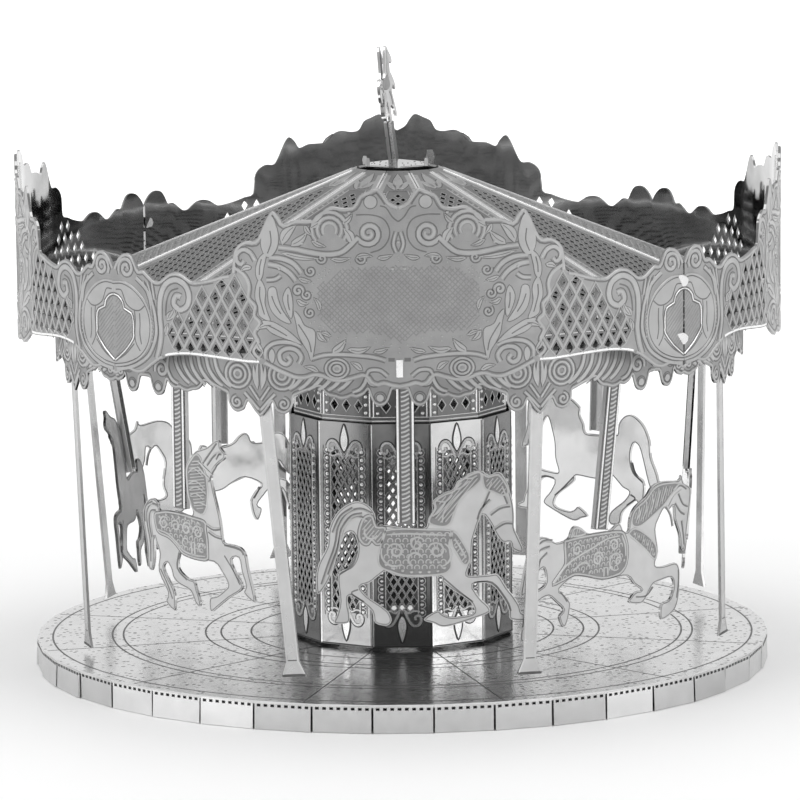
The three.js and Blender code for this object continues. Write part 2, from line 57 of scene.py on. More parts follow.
# Sheet thickness, and the height of its front face, where relief starts. Raised parts have their
# feet sunk a little into the face, and a dark line is a very low ridge.
SHEET = 0.26
FACE = SHEET / 2
SINK = 0.02
RAISED = 0.05
LINE_HEIGHT = 0.012

DECK_RADIUS, DECK_TOP, FLAPS = 40.0, 3.0, 40
SIDES, STATIONS, CARTOUCHES = 12, 8, 4
SIDE_ANGLE = 30
COLUMN_RADIUS, FRIEZE_RADIUS = 12.5, 11.9
FASCIA_RADIUS, VALANCE_RADIUS, HORSE_RADIUS, POST_RADIUS = 41.24, 37.2, 32.5, 36.7
FASCIA_HALF = math.pi * FASCIA_RADIUS / CARTOUCHES
VALANCE_HALF = math.pi * VALANCE_RADIUS / STATIONS

# How far a strip's end stops short of the seam, and how near two points of an outline are one.
SEAM_GAP, SAME_POINT = 0.13, 0.02


def node_span(node):
    """The lowest and highest point of a CAD node."""
    low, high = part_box(node)
    return low[2] / MM, high[2] / MM


# ---------------------------------------------------------------- flat curves


def smooth(points, steps, closed=False):
    """A Catmull-Rom curve through the points."""
    p = np.array(points, float)
    n = len(p)
    result = []
    for i in range(n if closed else n - 1):
        if closed:
            a, b, c, d = p[(i - 1) % n], p[i], p[(i + 1) % n], p[(i + 2) % n]
        else:
            a, b, c, d = p[max(i - 1, 0)], p[i], p[i + 1], p[min(i + 2, n - 1)]
        for t in np.arange(steps) / steps:
            bend = (2 * a - 5 * b + 4 * c - d) * t**2 + (3 * b - a - 3 * c + d) * t**3
            result.append(0.5 * (2 * b + (c - a) * t + bend))
    if not closed:
        result.append(p[-1])
    return np.array(result)


def arc(centre, radius, start, end, squash=1.0):
    """Part of an ellipse, in degrees from the +along axis."""
    angles = np.radians(np.linspace(start, end, max(3, int(abs(end - start) / 20) + 1)))
    x, z = radius * np.cos(angles), radius * squash * np.sin(angles)
    return np.column_stack([centre[0] + x, centre[1] + z])


def ring(centre, radius, squash=1.0):
    """An ellipse, as a closed line."""
    return arc(centre, radius, 0, 340, squash)


def spiral(centre, radius, turns, start, hand):
    """A volute that winds in to a fifth of its radius; hand 1 is anticlockwise."""
    t = np.linspace(0, 1, int(turns * 16) + 1)
    angles = math.radians(start) + hand * t * turns * 2 * math.pi
    radii = radius * (1 - 0.8 * t)
    return np.column_stack([centre[0] + radii * np.cos(angles), centre[1] + radii * np.sin(angles)])


def leaf(root, tip, width, bend=0.0):
    """The closed outline and the vein of a pointed leaf, bent sideways by a share of its length."""
    root, tip = np.array(root, float), np.array(tip, float)
    axis = tip - root
    side = np.array([-axis[1], axis[0]]) / np.linalg.norm(axis)
    t = np.linspace(0, 1, 8)[:, None]
    spine = root + axis * t + side * bend * np.linalg.norm(axis) * np.sin(math.pi * t)
    swell = side * (width / 2) * np.sin(math.pi * np.clip(t, 0.05, 1) ** 0.75)
    return np.vstack([spine + swell, (spine - swell)[-2:0:-1]]), spine[1:-1]


def normals(line, closed=False):
    """The unit normal at each point of a line, to the left of its direction."""
    line = np.asarray(line, float)
    if closed:
        tangent = np.roll(line, -1, axis=0) - np.roll(line, 1, axis=0)
    else:
        tangent = np.gradient(line, axis=0)
    tangent /= np.maximum(np.linalg.norm(tangent, axis=1), 1e-9)[:, None]
    return np.column_stack([-tangent[:, 1], tangent[:, 0]])


def beside(line, distance, closed=False):
    """A line at a distance to the left of another."""
    return np.asarray(line, float) + normals(line, closed) * distance


def inside(points, loops):
    """Even-odd test of many points against closed loops."""
    px, py = points[:, 0], points[:, 1]
    result = np.zeros(len(points), bool)
    for loop in loops:
        start = np.array(loop, float)
        for (x0, y0), (x1, y1) in zip(start, np.roll(start, -1, axis=0)):
            if y0 != y1:
                result ^= ((y0 > py) != (y1 > py)) & (px < (x1 - x0) * (py - y0) / (y1 - y0) + x0)
    return result


def clipped(line, loops):
    """The runs of a line that lie inside closed loops."""
    runs, run = [], []
    for point, keep in zip(line, inside(np.asarray(line), loops)):
        if keep:
            run.append(point)
        else:
            runs.append(run)
            run = []
    return [np.array(r) for r in [*runs, run] if len(r) > 1]


def hatch(loop, pitch, angle, step=0.5):
    """Parallel lines that fill a closed loop."""
    loop = np.array(loop, float)
    centre = loop.mean(axis=0)
    reach = np.abs(loop - centre).max() * 1.5
    direction = np.array([math.cos(math.radians(angle)), math.sin(math.radians(angle))])
    across = np.array([-direction[1], direction[0]])
    run = np.arange(-reach, reach, step)[:, None] * direction
    lines = []
    for offset in np.arange(-reach, reach, pitch):
        lines += clipped(centre + across * offset + run, [loop])
    return lines


def rectangle(left, right, low, high):
    return [(left, low), (right, low), (right, high), (left, high)]


def diamond(centre, half_width, half_height):
    x, y = centre
    return [(x + half_width, y), (x, y + half_height), (x - half_width, y), (x, y - half_height)]


def fit_inside(loop, share):
    """A loop scaled about its middle."""
    loop = np.asarray(loop, float)
    centre = loop.mean(axis=0)
    return centre + (loop - centre) * share


# ---------------------------------------------------------------- flat relief and solids


class Solid:
    """Points and faces, with a material index for each face. A flat relief is a Solid whose points
    are [along, height, lift]; a placed one has its points in space."""

    def __init__(self):
        self.blocks, self.faces, self.paint, self.count = [], [], [], 0

    def add(self, points, faces, paint):
        base = self.count
        self.blocks.append(np.asarray(points, float))
        self.count += len(points)
        self.faces.extend(tuple(base + i for i in face) for face in faces)
        self.paint.extend(paint if isinstance(paint, list) else [paint] * len(faces))

    def points(self):
        return np.vstack(self.blocks)

    def join(self, other, matrix, swap=None):
        """Add another solid, moved by a matrix, with some of its materials swapped."""
        points = other.points() @ np.array(matrix.to_3x3()).T + np.array(matrix.to_translation())
        self.add(points, other.faces, [(swap or {}).get(paint, paint) for paint in other.paint])

    def lay(self, relief, place, shift=0.0, mirror=False):
        """Bend a flat relief into place, mirrored and shifted along the band."""
        points = relief.points()
        along = shift + (-points[:, 0] if mirror else points[:, 0])
        faces = [face[::-1] for face in relief.faces] if mirror else relief.faces
        self.add(place(np.column_stack([along, points[:, 1]]), points[:, 2]), faces, list(relief.paint))


def on_cylinder(radius):
    """A place function that rolls a flat relief round the vertical axis."""
    def place(flat, lift):
        angle = flat[:, 0] / radius
        reach = radius + lift
        return np.column_stack([reach * np.sin(angle), -reach * np.cos(angle), flat[:, 1]])

    return place


def on_plane(origin=(0, 0, 0), across=(1, 0, 0), up=(0, 0, 1)):
    """A place function that stands a flat relief on a plane, facing -Y unless it is told otherwise."""
    origin, across, up = (np.array(v, float) for v in (origin, across, up))
    normal = np.cross(across, up)

    def place(flat, lift):
        return origin + flat[:, :1] * across + flat[:, 1:2] * up + lift[:, None] * normal

    return place


def laid(flat, *plane):
    """A flat relief laid on a plane, as a solid of its own."""
    solid = Solid()
    solid.lay(flat, on_plane(*plane))
    return solid


def cut(loops, guides=()):
    """Triangles of a flat sheet with holes. Guides are lines that the sheet may bend along."""
    coords, edges = [], []
    for loop in loops:
        start, n = len(coords), len(loop)
        coords += [Vector((float(x), float(y))) for x, y in loop]
        edges += [(start + i, start + (i + 1) % n) for i in range(n)]
    for a, b in guides:
        coords += [Vector(a), Vector(b)]
        edges.append((len(coords) - 2, len(coords) - 1))
    verts, _, faces, *_ = delaunay_2d_cdt(coords, edges, [], 0, 1e-5)
    points = np.array([(v[0], v[1]) for v in verts])
    triangles = np.array([face for face in faces if len(face) == 3])
    triangles = triangles[inside(points[triangles].mean(axis=1), loops)]
    used, triangles = np.unique(triangles, return_inverse=True)
    return points[used], triangles.reshape(-1, 3).tolist()


def rim_edges(triangles):
    """The edges that only one triangle has."""
    directed = {(t[i], t[(i + 1) % 3]) for t in triangles for i in range(3)}
    return [(i, j) for i, j in directed if (j, i) not in directed]


def upright_guides(loop):
    """Upright lines, a millimetre apart, that a sheet may bend along."""
    x, z = np.asarray(loop, float).T
    low, high = z.min() - 1, z.max() + 1
    return [((a, low), (a, high)) for a in np.arange(x.min() + 0.53, x.max() - 0.1, 1.0)]


def sheet(relief, loops, thickness=SHEET, lift=0.0, front=FRONT, back=BACK, bend=False):
    """A closed sheet with holes; with bend it can follow a cylinder."""
    flat, triangles = cut(loops, upright_guides(loops[0]) if bend else ())
    n = len(flat)
    points = np.vstack([
        np.column_stack([flat, np.full(n, lift + thickness / 2)]),
        np.column_stack([flat, np.full(n, lift - thickness / 2)]),
    ])
    under = [(c + n, b + n, a + n) for a, b, c in triangles]
    walls = [(j, i, i + n, j + n) for i, j in rim_edges(triangles)]
    paint = [front] * len(triangles) + [back] * (len(under) + len(walls))
    relief.add(points, triangles + under + walls, paint)


def pad(relief, loop, lift=FACE, height=RAISED, paint=LIGHT, slope=0.05):
    """A low plateau with sloping sides. A wide one can follow a cylinder."""
    wide = np.ptp(np.array(loop)[:, 0]) > 1.5
    flat, triangles = cut([loop], upright_guides(loop) if wide else ())
    n = len(flat)
    out = np.zeros((n, 2))
    rim = rim_edges(triangles)
    for i, j in rim:
        step = flat[j] - flat[i]
        step /= max(np.linalg.norm(step), 1e-9)
        for k in (i, j):
            out[k] += (step[1], -step[0])
    out /= np.maximum(np.linalg.norm(out, axis=1), 1e-9)[:, None]
    points = np.vstack([
        np.column_stack([flat, np.full(n, lift + height)]),
        np.column_stack([flat + out * slope, np.full(n, lift - SINK)]),
    ])
    relief.add(points, triangles + [(j, i, i + n, j + n) for i, j in rim], paint)


def ridge(relief, line, width, lift=FACE, height=RAISED, paint=LIGHT, closed=False, taper=False):
    """A low ridge with sloping sides that follows a line."""
    line = np.asarray(line, float)
    n = len(line)
    if n < 2:
        return
    side = normals(line, closed)
    half = np.full(n, width / 2)
    if taper:
        half *= 0.3 + 0.7 * np.sin(math.pi * np.linspace(0.06, 0.94, n)) ** 0.6
    foot, top = (half + height)[:, None], half[:, None]
    rows = [(line + side * foot, lift - SINK), (line + side * top, lift + height),
            (line - side * top, lift + height), (line - side * foot, lift - SINK)]
    points = np.vstack([np.column_stack([flat, np.full(n, z)]) for flat, z in rows])
    faces = []
    for i in range(n if closed else n - 1):
        j = (i + 1) % n
        for row in range(4):
            other = (row + 1) % 4
            faces.append((row * n + i, other * n + i, other * n + j, row * n + j))
    if not closed:
        faces += [(0, 3 * n, 2 * n, n), (n - 1, 2 * n - 1, 3 * n - 1, 4 * n - 1)]
    relief.add(points, faces, paint)


def groove(relief, line, width=0.13, closed=False, lift=FACE):
    """A dark etched line."""
    ridge(relief, line, width, lift, LINE_HEIGHT, LINE, closed)


def stroke(relief, line, width, lift=FACE, taper=True):
    """A raised scroll between two dark etched lines."""
    ridge(relief, line, width, lift, taper=taper)
    for side in (-1, 1):
        groove(relief, beside(line, side * (width / 2 + 0.11)), 0.1, lift=lift)


def strokes(relief, rows, lift=FACE):
    """Raised scrolls, each given as its width and the points it passes."""
    for width, points in rows:
        stroke(relief, smooth(points, 4), width, lift)


def hatched(relief, loop, pitch, angle):
    """A loop filled with fine raised lines."""
    for line in hatch(loop, pitch, angle):
        ridge(relief, line, 0.09, height=0.02, paint=ETCH)


def rings(relief, centre, radii, width, gap, lift=FACE, squash=1.0, line=0.12):
    """Raised rings, each with a dark line round it."""
    for radius in radii:
        ridge(relief, ring(centre, radius, squash), width, lift, closed=True)
        groove(relief, ring(centre, radius + gap, squash), line, True, lift)


def blob(relief, loop, lift=FACE):
    """A raised shape inside a dark etched outline."""
    pad(relief, loop, lift)
    groove(relief, loop, 0.2, True, lift)


def vein_line(relief, line, width):
    """A dark line along the top of a raised shape."""
    groove(relief, line, width, lift=FACE + 0.045)


def leaves(relief, rows):
    """Leaves, each given as its root, tip, width and bend."""
    for root, tip, width, bend in rows:
        outline, vein = leaf(root, tip, width, bend)
        blob(relief, outline)
        vein_line(relief, vein, 0.07)


def bead(relief, centre, radius, lift=FACE, paint=LIGHT, sides=7):
    """A small round boss."""
    angles = np.linspace(0, 2 * math.pi, sides, endpoint=False)
    circle = np.column_stack([np.cos(angles), np.sin(angles)])
    centre = np.array(centre, float)
    top = np.zeros((1, 2))
    rows = [(circle * radius, -SINK), (circle * radius * 0.75, radius * 0.4), (top, radius * 0.6)]
    levels = [np.column_stack([centre + flat, np.full(len(flat), lift + z)]) for flat, z in rows]
    points = np.vstack(levels)
    faces = []
    for i in range(sides):
        j = (i + 1) % sides
        faces += [(i, j, sides + j, sides + i), (sides + i, sides + j, 2 * sides)]
    relief.add(points, faces, paint)


def rotation(degrees, axis):
    return Matrix.Rotation(math.radians(degrees), 4, axis)


def turned(azimuth):
    return rotation(azimuth, "Z")


SHARP_ANGLE = 32


def make_piece(name, solid, body, materials, node):
    """Turn a solid into a Blender object on a body, in the place of a CAD node."""
    mesh = bpy.data.meshes.new(name)
    mesh.from_pydata((solid.points() * MM).tolist(), [], solid.faces)
    used = sorted(set(solid.paint))
    for index in used:
        mesh.materials.append(materials[index])
    order = {paint: position for position, paint in enumerate(used)}
    mesh.polygons.foreach_set("material_index", [order[paint] for paint in solid.paint])
    mesh.shade_smooth()
    mesh.set_sharp_from_angle(angle=math.radians(SHARP_ANGLE))
    mesh.update()
    piece = bpy.data.objects.new(name, mesh)
    bpy.context.collection.objects.link(piece)
    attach(piece, body)
    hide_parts(node)


# ---------------------------------------------------------------- camera

# The photograph's camera: it stands in front, looks slightly down and is rolled a little.
CAMERA_PLACE = (0.0, -0.5217, 0.1064)
CAMERA_DOWN, CAMERA_ROLL = 8.503, -0.585
CAMERA_SENSOR, CAMERA_LENS = 36.0, 217.5


def make_camera():
    camera = bpy.data.objects.new("camera", bpy.data.cameras.new("camera"))
    camera.data.sensor_width = CAMERA_SENSOR
    camera.data.lens = CAMERA_LENS
    camera.data.clip_start = 0.01
    camera.data.clip_end = 20.0
    aim = rotation(90 - CAMERA_DOWN, "X") @ rotation(CAMERA_ROLL, "Z")
    camera.matrix_world = Matrix.Translation(CAMERA_PLACE) @ aim
    bpy.context.collection.objects.link(camera)
    bpy.context.scene.camera = camera


make_camera()


# ---------------------------------------------------------------- materials


def map_range(tree, source, from_range, to_range):
    """A node that maps one range of a value onto another."""
    node = tree.nodes.new("ShaderNodeMapRange")
    sockets = ("From Min", "From Max", "To Min", "To Max")
    for socket, value in zip(sockets, (*from_range, *to_range)):
        node.inputs[socket].default_value = value
    tree.links.new(source, node.inputs["Value"])
    return node.outputs["Result"]


# Noise scales are in cycles per metre, and bump distances in metres.
PATCH_SCALE, ROUGHNESS_SCALE, SPECKLE_SCALE, SPECKLE_PATCH_SCALE = 420, 900, 1250, 900
GRAIN_SCALE, GRAIN_DISTANCE = 7000, 0.00002
WAVE_SCALE, WAVE_DISTANCE = 160, 0.0006
NOISE_RANGE = (0.3, 0.7)


def steel(name, colour, roughness, grain=0.0, patch=0.05, wave=0.0, speckle=0.0):
    """Bare steel: patchy tone and roughness, fine grain, slow waviness and etched speckles."""
    material = bpy.data.materials.new(name)
    material.use_nodes = True
    tree = material.node_tree
    nodes, links = tree.nodes, tree.links
    shader = nodes["Principled BSDF"]
    shader.inputs["Metallic"].default_value = 1.0
    place = nodes.new("ShaderNodeTexCoord")

    def noise(scale, detail=2.0):
        node = nodes.new("ShaderNodeTexNoise")
        node.inputs["Scale"].default_value = scale
        node.inputs["Detail"].default_value = detail
        links.new(place.outputs["Object"], node.inputs["Vector"])
        return node.outputs["Fac"]

    def math_node(operation, first, second, third=None):
        node = nodes.new("ShaderNodeMath")
        node.operation = operation
        for index, value in enumerate((first, second, third)):
            if isinstance(value, float):
                node.inputs[index].default_value = value
            elif value is not None:
                links.new(value, node.inputs[index])
        return node.outputs[0]

    tones = (colour * (1 - patch), min(colour * (1 + patch), 1.0))
    tone = map_range(tree, noise(PATCH_SCALE, 3.0), NOISE_RANGE, tones)
    if speckle:
        cells = nodes.new("ShaderNodeTexVoronoi")
        cells.inputs["Scale"].default_value = SPECKLE_SCALE
        links.new(place.outputs["Object"], cells.inputs["Vector"])
        dots = map_range(tree, cells.outputs["Distance"], (0.2, 0.29), (1.0, 0.0))
        sparse = map_range(tree, noise(SPECKLE_PATCH_SCALE, 1.0), (0.32, 0.44), (0.0, 1.0))
        tone = math_node("MULTIPLY_ADD", math_node("MULTIPLY", dots, sparse), -speckle, tone)
    paint = nodes.new("ShaderNodeCombineColor")
    for channel in ("Red", "Green", "Blue"):
        links.new(tone, paint.inputs[channel])
    links.new(paint.outputs["Color"], shader.inputs["Base Color"])
    wear = map_range(tree, noise(ROUGHNESS_SCALE, 4.0), NOISE_RANGE, (roughness * 0.85, roughness * 1.2))
    links.new(wear, shader.inputs["Roughness"])
    height = None
    for scale, strength, distance in (
        (GRAIN_SCALE, grain, GRAIN_DISTANCE), (WAVE_SCALE, wave, WAVE_DISTANCE),
    ):
        if strength:
            bump = nodes.new("ShaderNodeBump")
            bump.inputs["Strength"].default_value = strength
            bump.inputs["Distance"].default_value = distance
            links.new(noise(scale), bump.inputs["Height"])
            if height:
                links.new(height, bump.inputs["Normal"])
            height = bump.outputs["Normal"]
    if height:
        links.new(height, shader.inputs["Normal"])
    return material


def darken_top(material):
    """Shade the upper side of a plate, which lies in the dark under the roof."""
    tree = material.node_tree
    nodes, links = tree.nodes, tree.links
    shader = nodes["Principled BSDF"]
    tone = shader.inputs["Base Color"].links[0].from_socket
    split = nodes.new("ShaderNodeSeparateXYZ")
    links.new(nodes.new("ShaderNodeNewGeometry").outputs["Normal"], split.inputs["Vector"])
    shade = map_range(tree, split.outputs["Z"], (-0.2, 0.2), (1.0, 0.12))
    scale = nodes.new("ShaderNodeVectorMath")
    scale.operation = "SCALE"
    links.new(tone, scale.inputs[0])
    links.new(shade, scale.inputs["Scale"])
    links.new(scale.outputs["Vector"], shader.inputs["Base Color"])


# Each sheet is etched and polished in its own way, and some have darker or brighter copies that are painted
# shade or painted highlight. The two numbers are its tone and its roughness.
MIRROR = steel("mirror_sheet", 0.72, 0.12, wave=0.12)
# The inner sides are the same polished steel as the mirror, given a much darker tone: painted shade.
SHADED_INNER_MIRROR = steel("inner_mirror_painted_shade", 0.34, 0.07, patch=0.15, wave=0.06)
CEILING = steel("ceiling", 0.78, 0.28, wave=0.05)
EDGE_LIGHT = steel("polished_line", 0.80, 0.25)
darken_top(CEILING)
DECK_PAINT = {
    FRONT: steel("deck_face", 0.92, 0.2, grain=0.3, wave=0.06, speckle=0.8),
    BACK: MIRROR,
    LINE: steel("deck_line", 0.16, 0.4),
    PAINTED_SHADE: steel("flap_painted_shade", 0.56, 0.22, wave=0.1),
    PAINTED_HALF_LIGHT: steel("flap_painted_half_light", 0.63, 0.22, wave=0.1),
    PAINTED_HIGHLIGHT: steel("flap_painted_highlight", 0.84, 0.2, wave=0.1),
}
COLUMN_PAINT = {
    FRONT: steel("column_face", 0.32, 0.16, wave=0.08),
    BACK: SHADED_INNER_MIRROR,
    LIGHT: steel("column_relief", 0.46, 0.24),
    LINE: steel("column_line", 0.08, 0.4),
    BRIGHT: EDGE_LIGHT,
    ETCH: steel("column_etch", 0.11, 0.34, grain=0.5),
    PAINTED_SHADE: steel("column_painted_shade", 0.15, 0.15, wave=0.1),
    PAINTED_HALF_LIGHT: steel("column_painted_half_light", 0.2, 0.18, wave=0.1),
    PAINTED_HIGHLIGHT: steel("column_painted_highlight", 0.58, 0.14, wave=0.1),
}
FASCIA_PAINT = {
    FRONT: steel("fascia_etch", 0.35, 0.44, grain=0.7, patch=0.07),
    BACK: SHADED_INNER_MIRROR,
    LIGHT: steel("fascia_relief", 0.43, 0.38, grain=0.3),
    LINE: steel("fascia_line", 0.20, 0.5, grain=0.5),
    BRIGHT: EDGE_LIGHT,
    ETCH: steel("fascia_hatch", 0.30, 0.42, grain=0.4),
}
VALANCE_PAINT = {
    FRONT: steel("valance_etch", 0.30, 0.42, grain=0.6),
    BACK: SHADED_INNER_MIRROR,
    LIGHT: steel("valance_relief", 0.42, 0.34, grain=0.3),
    LINE: steel("valance_line", 0.19, 0.5, grain=0.4),
}
ROOF_PAINT = {
    FRONT: steel("roof_face", 0.25, 0.3, grain=0.3),
    BACK: SHADED_INNER_MIRROR,
    LIGHT: steel("roof_relief", 0.42, 0.3),
    LINE: steel("roof_line", 0.10, 0.5),
    BRIGHT: steel("roof_margin", 0.8, 0.22, wave=0.06),
    ETCH: steel("roof_etch", 0.20, 0.4, grain=0.5),
}
HORSE_PAINT = {
    FRONT: steel("horse_body", 0.58, 0.38, grain=0.25),
    BACK: MIRROR,
    LIGHT: steel("horse_relief", 0.55, 0.36, grain=0.3),
    LINE: steel("horse_line", 0.25, 0.5, grain=0.4),
    ETCH: steel("horse_etch", 0.30, 0.46, grain=0.7, patch=0.1),
    # A darker copy of the mirror side: painted shade.
    PAINTED_SHADE: steel("horse_mirror_painted_shade", 0.22, 0.2, wave=0.1),
}
STRIP_PAINT = {
    FRONT: steel("strip_face", 0.52, 0.3, grain=0.2),
    BACK: steel("strip_back", 0.5, 0.2, wave=0.1),
    LIGHT: steel("strip_relief", 0.55, 0.3),
    LINE: steel("strip_line", 0.14, 0.5),
    BRIGHT: EDGE_LIGHT,
    ETCH: steel("strip_etch", 0.22, 0.42, grain=0.4),
}


# ---------------------------------------------------------------- base: deck

# Flaps counted from the front towards the right. Each is folded by hand, so each catches the
# light its own way; besides its real lean and twist, each flap's tone is painted light: a painted
# highlight, painted half light or painted shade.
HIGHLIT_FLAPS = (4, 11, 12, 17, 23, 24, 29, 35, 36, 37)
SHADED_FLAPS = (3, 6, 9, 15, 20, 27, 31)
DECK_SHEET = 0.3
DECK_RINGS = (38.3, 31.8, 30.6, 21.6, 19.9, 16.6)
SPOKE_RADII = (12.6, 20, 30, 39.6)
FLAP_LOW, FLAP_HIGH = 0.04, 2.84
FLAP_SEED, FLAP_LEAN, FLAP_TWIST = 11, (-3.0, 1.0), (-1.6, 1.6)
FLAP_SLOTS, SLOT_LOW, SLOT_HIGH, SLOT_HALF = 8, 2.42, 2.66, 0.18


def build_deck():
    """The deck's disc with etched rings and spokes, and its skirt of folded flaps."""
    disc = Solid()
    corners = np.radians((np.arange(FLAPS) + 0.5) * 360 / FLAPS)
    rim = np.column_stack([DECK_RADIUS * np.sin(corners), -DECK_RADIUS * np.cos(corners)])
    sheet(disc, [rim], DECK_SHEET)
    angles = np.linspace(0, 2 * math.pi, 180, endpoint=False)
    for radius in DECK_RINGS:
        circle = np.column_stack([radius * np.sin(angles), -radius * np.cos(angles)])
        groove(disc, circle, 0.2, True, DECK_SHEET / 2)
    for index in range(SIDES):
        angle = math.radians(SIDE_ANGLE / 2 + SIDE_ANGLE * index)
        spoke = [(r * math.sin(angle), -r * math.cos(angle)) for r in SPOKE_RADII]
        groove(disc, spoke, lift=DECK_SHEET / 2)
    solid = laid(disc, (0, 0, DECK_TOP - DECK_SHEET / 2), (1, 0, 0), (0, 1, 0))

    half = DECK_RADIUS * math.sin(math.pi / FLAPS) - 0.1
    slots = [
        rectangle(x - SLOT_HALF, x + SLOT_HALF, SLOT_LOW, SLOT_HIGH)
        for x in (np.arange(FLAP_SLOTS) - (FLAP_SLOTS - 1) / 2) * half / 4.1
    ]
    outline = rectangle(-half, half, FLAP_LOW, FLAP_HIGH)
    flat = Solid()
    sheet(flat, [outline, *slots], 0.2)
    for slot in slots:
        ridge(flat, slot, 0.05, 0.1, 0.02, LINE, True)
    flap = laid(flat)
    reach = DECK_RADIUS * math.cos(math.pi / FLAPS) - 0.1
    chance = random.Random(FLAP_SEED)
    for index in range(FLAPS):
        lean = rotation(chance.uniform(*FLAP_LEAN), "X")
        twist = rotation(chance.uniform(*FLAP_TWIST), "Z")
        fold = Matrix.Translation((0, -reach, FLAP_HIGH))
        hinge = fold @ twist @ lean @ Matrix.Translation((0, 0, -FLAP_HIGH))
        # A flap's tone is painted highlight, painted half light or painted shade.
        tone = PAINTED_HIGHLIGHT if index in HIGHLIT_FLAPS else PAINTED_SHADE if index in SHADED_FLAPS else PAINTED_HALF_LIGHT
        solid.join(flap, turned(index * 360 / FLAPS) @ hinge, {FRONT: tone})
    make_piece("deck_sheet", solid, "base", DECK_PAINT, "deck")


build_deck()


# ---------------------------------------------------------------- base: column

# One facet's painted light after another, from the front towards the right: painted shade, half light or
# highlight, for how bright each mirror facet looks.
FACET_PAINTED_LIGHT = [
    PAINTED_SHADE, PAINTED_HIGHLIGHT, PAINTED_HALF_LIGHT, PAINTED_SHADE, PAINTED_HIGHLIGHT, PAINTED_HALF_LIGHT,
    PAINTED_SHADE, PAINTED_HIGHLIGHT, PAINTED_HALF_LIGHT, PAINTED_SHADE, PAINTED_HALF_LIGHT, FRONT,
]
ZONE_HALF, COLUMN_ROW, COLUMN_MIDDLE, BEAD_PITCH = 2.5, 0.72, 15, 0.87
FRIEZE_ROWS = (29.4, 31.2, 33.0, 34.8)

# Where the column's relief starts: at its sheets' front faces, which lie just inside its true size.
COLUMN_FACE = -0.03

# How thick the sheets are, and how deep their middles lie inside the true size.
COLUMN_SHEET, COLUMN_DEPTH = 0.22, -0.13
COLUMN_LATTICE_SHEET, COLUMN_LATTICE_DEPTH = 0.2, -0.14


def fleur(relief, foot, up, lift):
    """A fleur-de-lis that grows up or down from its foot."""
    def at(*points):
        return [(foot[0] + x, foot[1] + up * y) for x, y in points]

    petal = smooth(at(
        (0, 0.7), (0.42, 1.3), (0.5, 2.1), (0.3, 3.0), (0, 3.7), (-0.3, 3.0), (-0.5, 2.1), (-0.42, 1.3),
    ), 3, True)
    pad(relief, petal, lift, 0.04, BRIGHT)
    ridge(relief, petal, 0.16, lift, RAISED, LINE, True)
    for side in (-1, 1):
        curl = at((0.3 * side, 0.3), (0.6 * side, 1.0), (1.1 * side, 1.75), (1.7 * side, 1.8),
                  (2.05 * side, 1.3), (1.9 * side, 0.75), (1.45 * side, 0.8), (1.45 * side, 1.2))
        ridge(relief, smooth(curl, 3), 0.26, lift, 0.06)
        groove(relief, beside(smooth(curl, 3), side * up * 0.22), 0.1, lift=lift)
        tail = at((0.1 * side, 0.0), (0.7 * side, 0.45), (1.3 * side, 0.2), (1.9 * side, 0.3))
        ridge(relief, smooth(tail, 3), 0.18, lift)


def column_facet():
    """One flat facet: pierced lattice between beaded borders, a fleur-de-lis at each end."""
    flat = Solid()
    half = COLUMN_RADIUS * math.sin(math.pi / SIDES) - 0.03
    low, high = node_span("column_panel_1")
    zone_low, zone_high = low + 3.6, high - 3.0
    zone = rectangle(-ZONE_HALF, ZONE_HALF, zone_low, zone_high)
    holes = []
    for row, z in enumerate(np.arange(zone_low + 0.7, zone_high - 0.4, COLUMN_ROW)):
        centres = (-1.3, -0.43, 0.43, 1.3) if row % 2 else (-0.87, 0.0, 0.87)
        holes += [diamond((x, z), 0.3, 0.46) for x in centres]
    sheet(flat, [rectangle(-half, half, low, high), zone], COLUMN_SHEET, COLUMN_DEPTH)
    sheet(flat, [zone, *holes], COLUMN_LATTICE_SHEET, COLUMN_LATTICE_DEPTH, front=ETCH)
    lift = COLUMN_FACE
    for hole in holes:
        ridge(flat, fit_inside(hole, 1.25), 0.08, lift, closed=True)
    # Each facet's left edge gets a painted highlight and its right edge a dark line of painted shade, so
    # each fold is lit on one side.
    for side, start, fold_light_paint in ((-1, 70, BRIGHT), (1, -110, LINE)):
        for z in np.arange(zone_low + 0.2, zone_high, BEAD_PITCH):
            bead(flat, (2.15 * side, z), 0.24, lift, BRIGHT)
            ridge(flat, arc((2.15 * side, z), 0.4, start, start + 220), 0.08, lift, 0.04)
        seam = [(2.62 * side, z) for z in (zone_low - 0.4, COLUMN_MIDDLE, zone_high + 0.4)]
        groove(flat, seam, 0.1, lift=lift)
        ridge(flat, [(1.75 * side, z) for z in (zone_low, COLUMN_MIDDLE, zone_high)], 0.1, lift)
        edge = [((half - 0.12) * side, z) for z in (low + 0.1, COLUMN_MIDDLE, high - 0.1)]
        ridge(flat, edge, 0.1, lift, 0.03, fold_light_paint)
    fleur(flat, (0, zone_high - 0.9), 1, lift + 0.02)
    fleur(flat, (0, zone_low + 0.6), -1, lift + 0.02)
    # A dark line along each facet's foot: painted shade where the column stands on the deck.
    ridge(flat, [(-half, low + 0.1), (half, low + 0.1)], 0.16, lift, 0.02, LINE)
    return laid(flat, (0, -COLUMN_RADIUS * math.cos(math.pi / SIDES), 0))


def build_column():
    """Four panels of three facets each."""
    facet = column_facet()
    for panel in range(4):
        solid = Solid()
        for step in (-1, 0, 1):
            index = panel * 3 + step
            # Each facet's face gets its painted shade, painted half light or painted highlight.
            tone = FACET_PAINTED_LIGHT[index % SIDES]
            solid.join(facet, turned(index * SIDE_ANGLE), {FRONT: tone})
        name = f"column_panel_{panel + 1}"
        make_piece(f"{name}_sheet", solid, "base", COLUMN_PAINT, name)


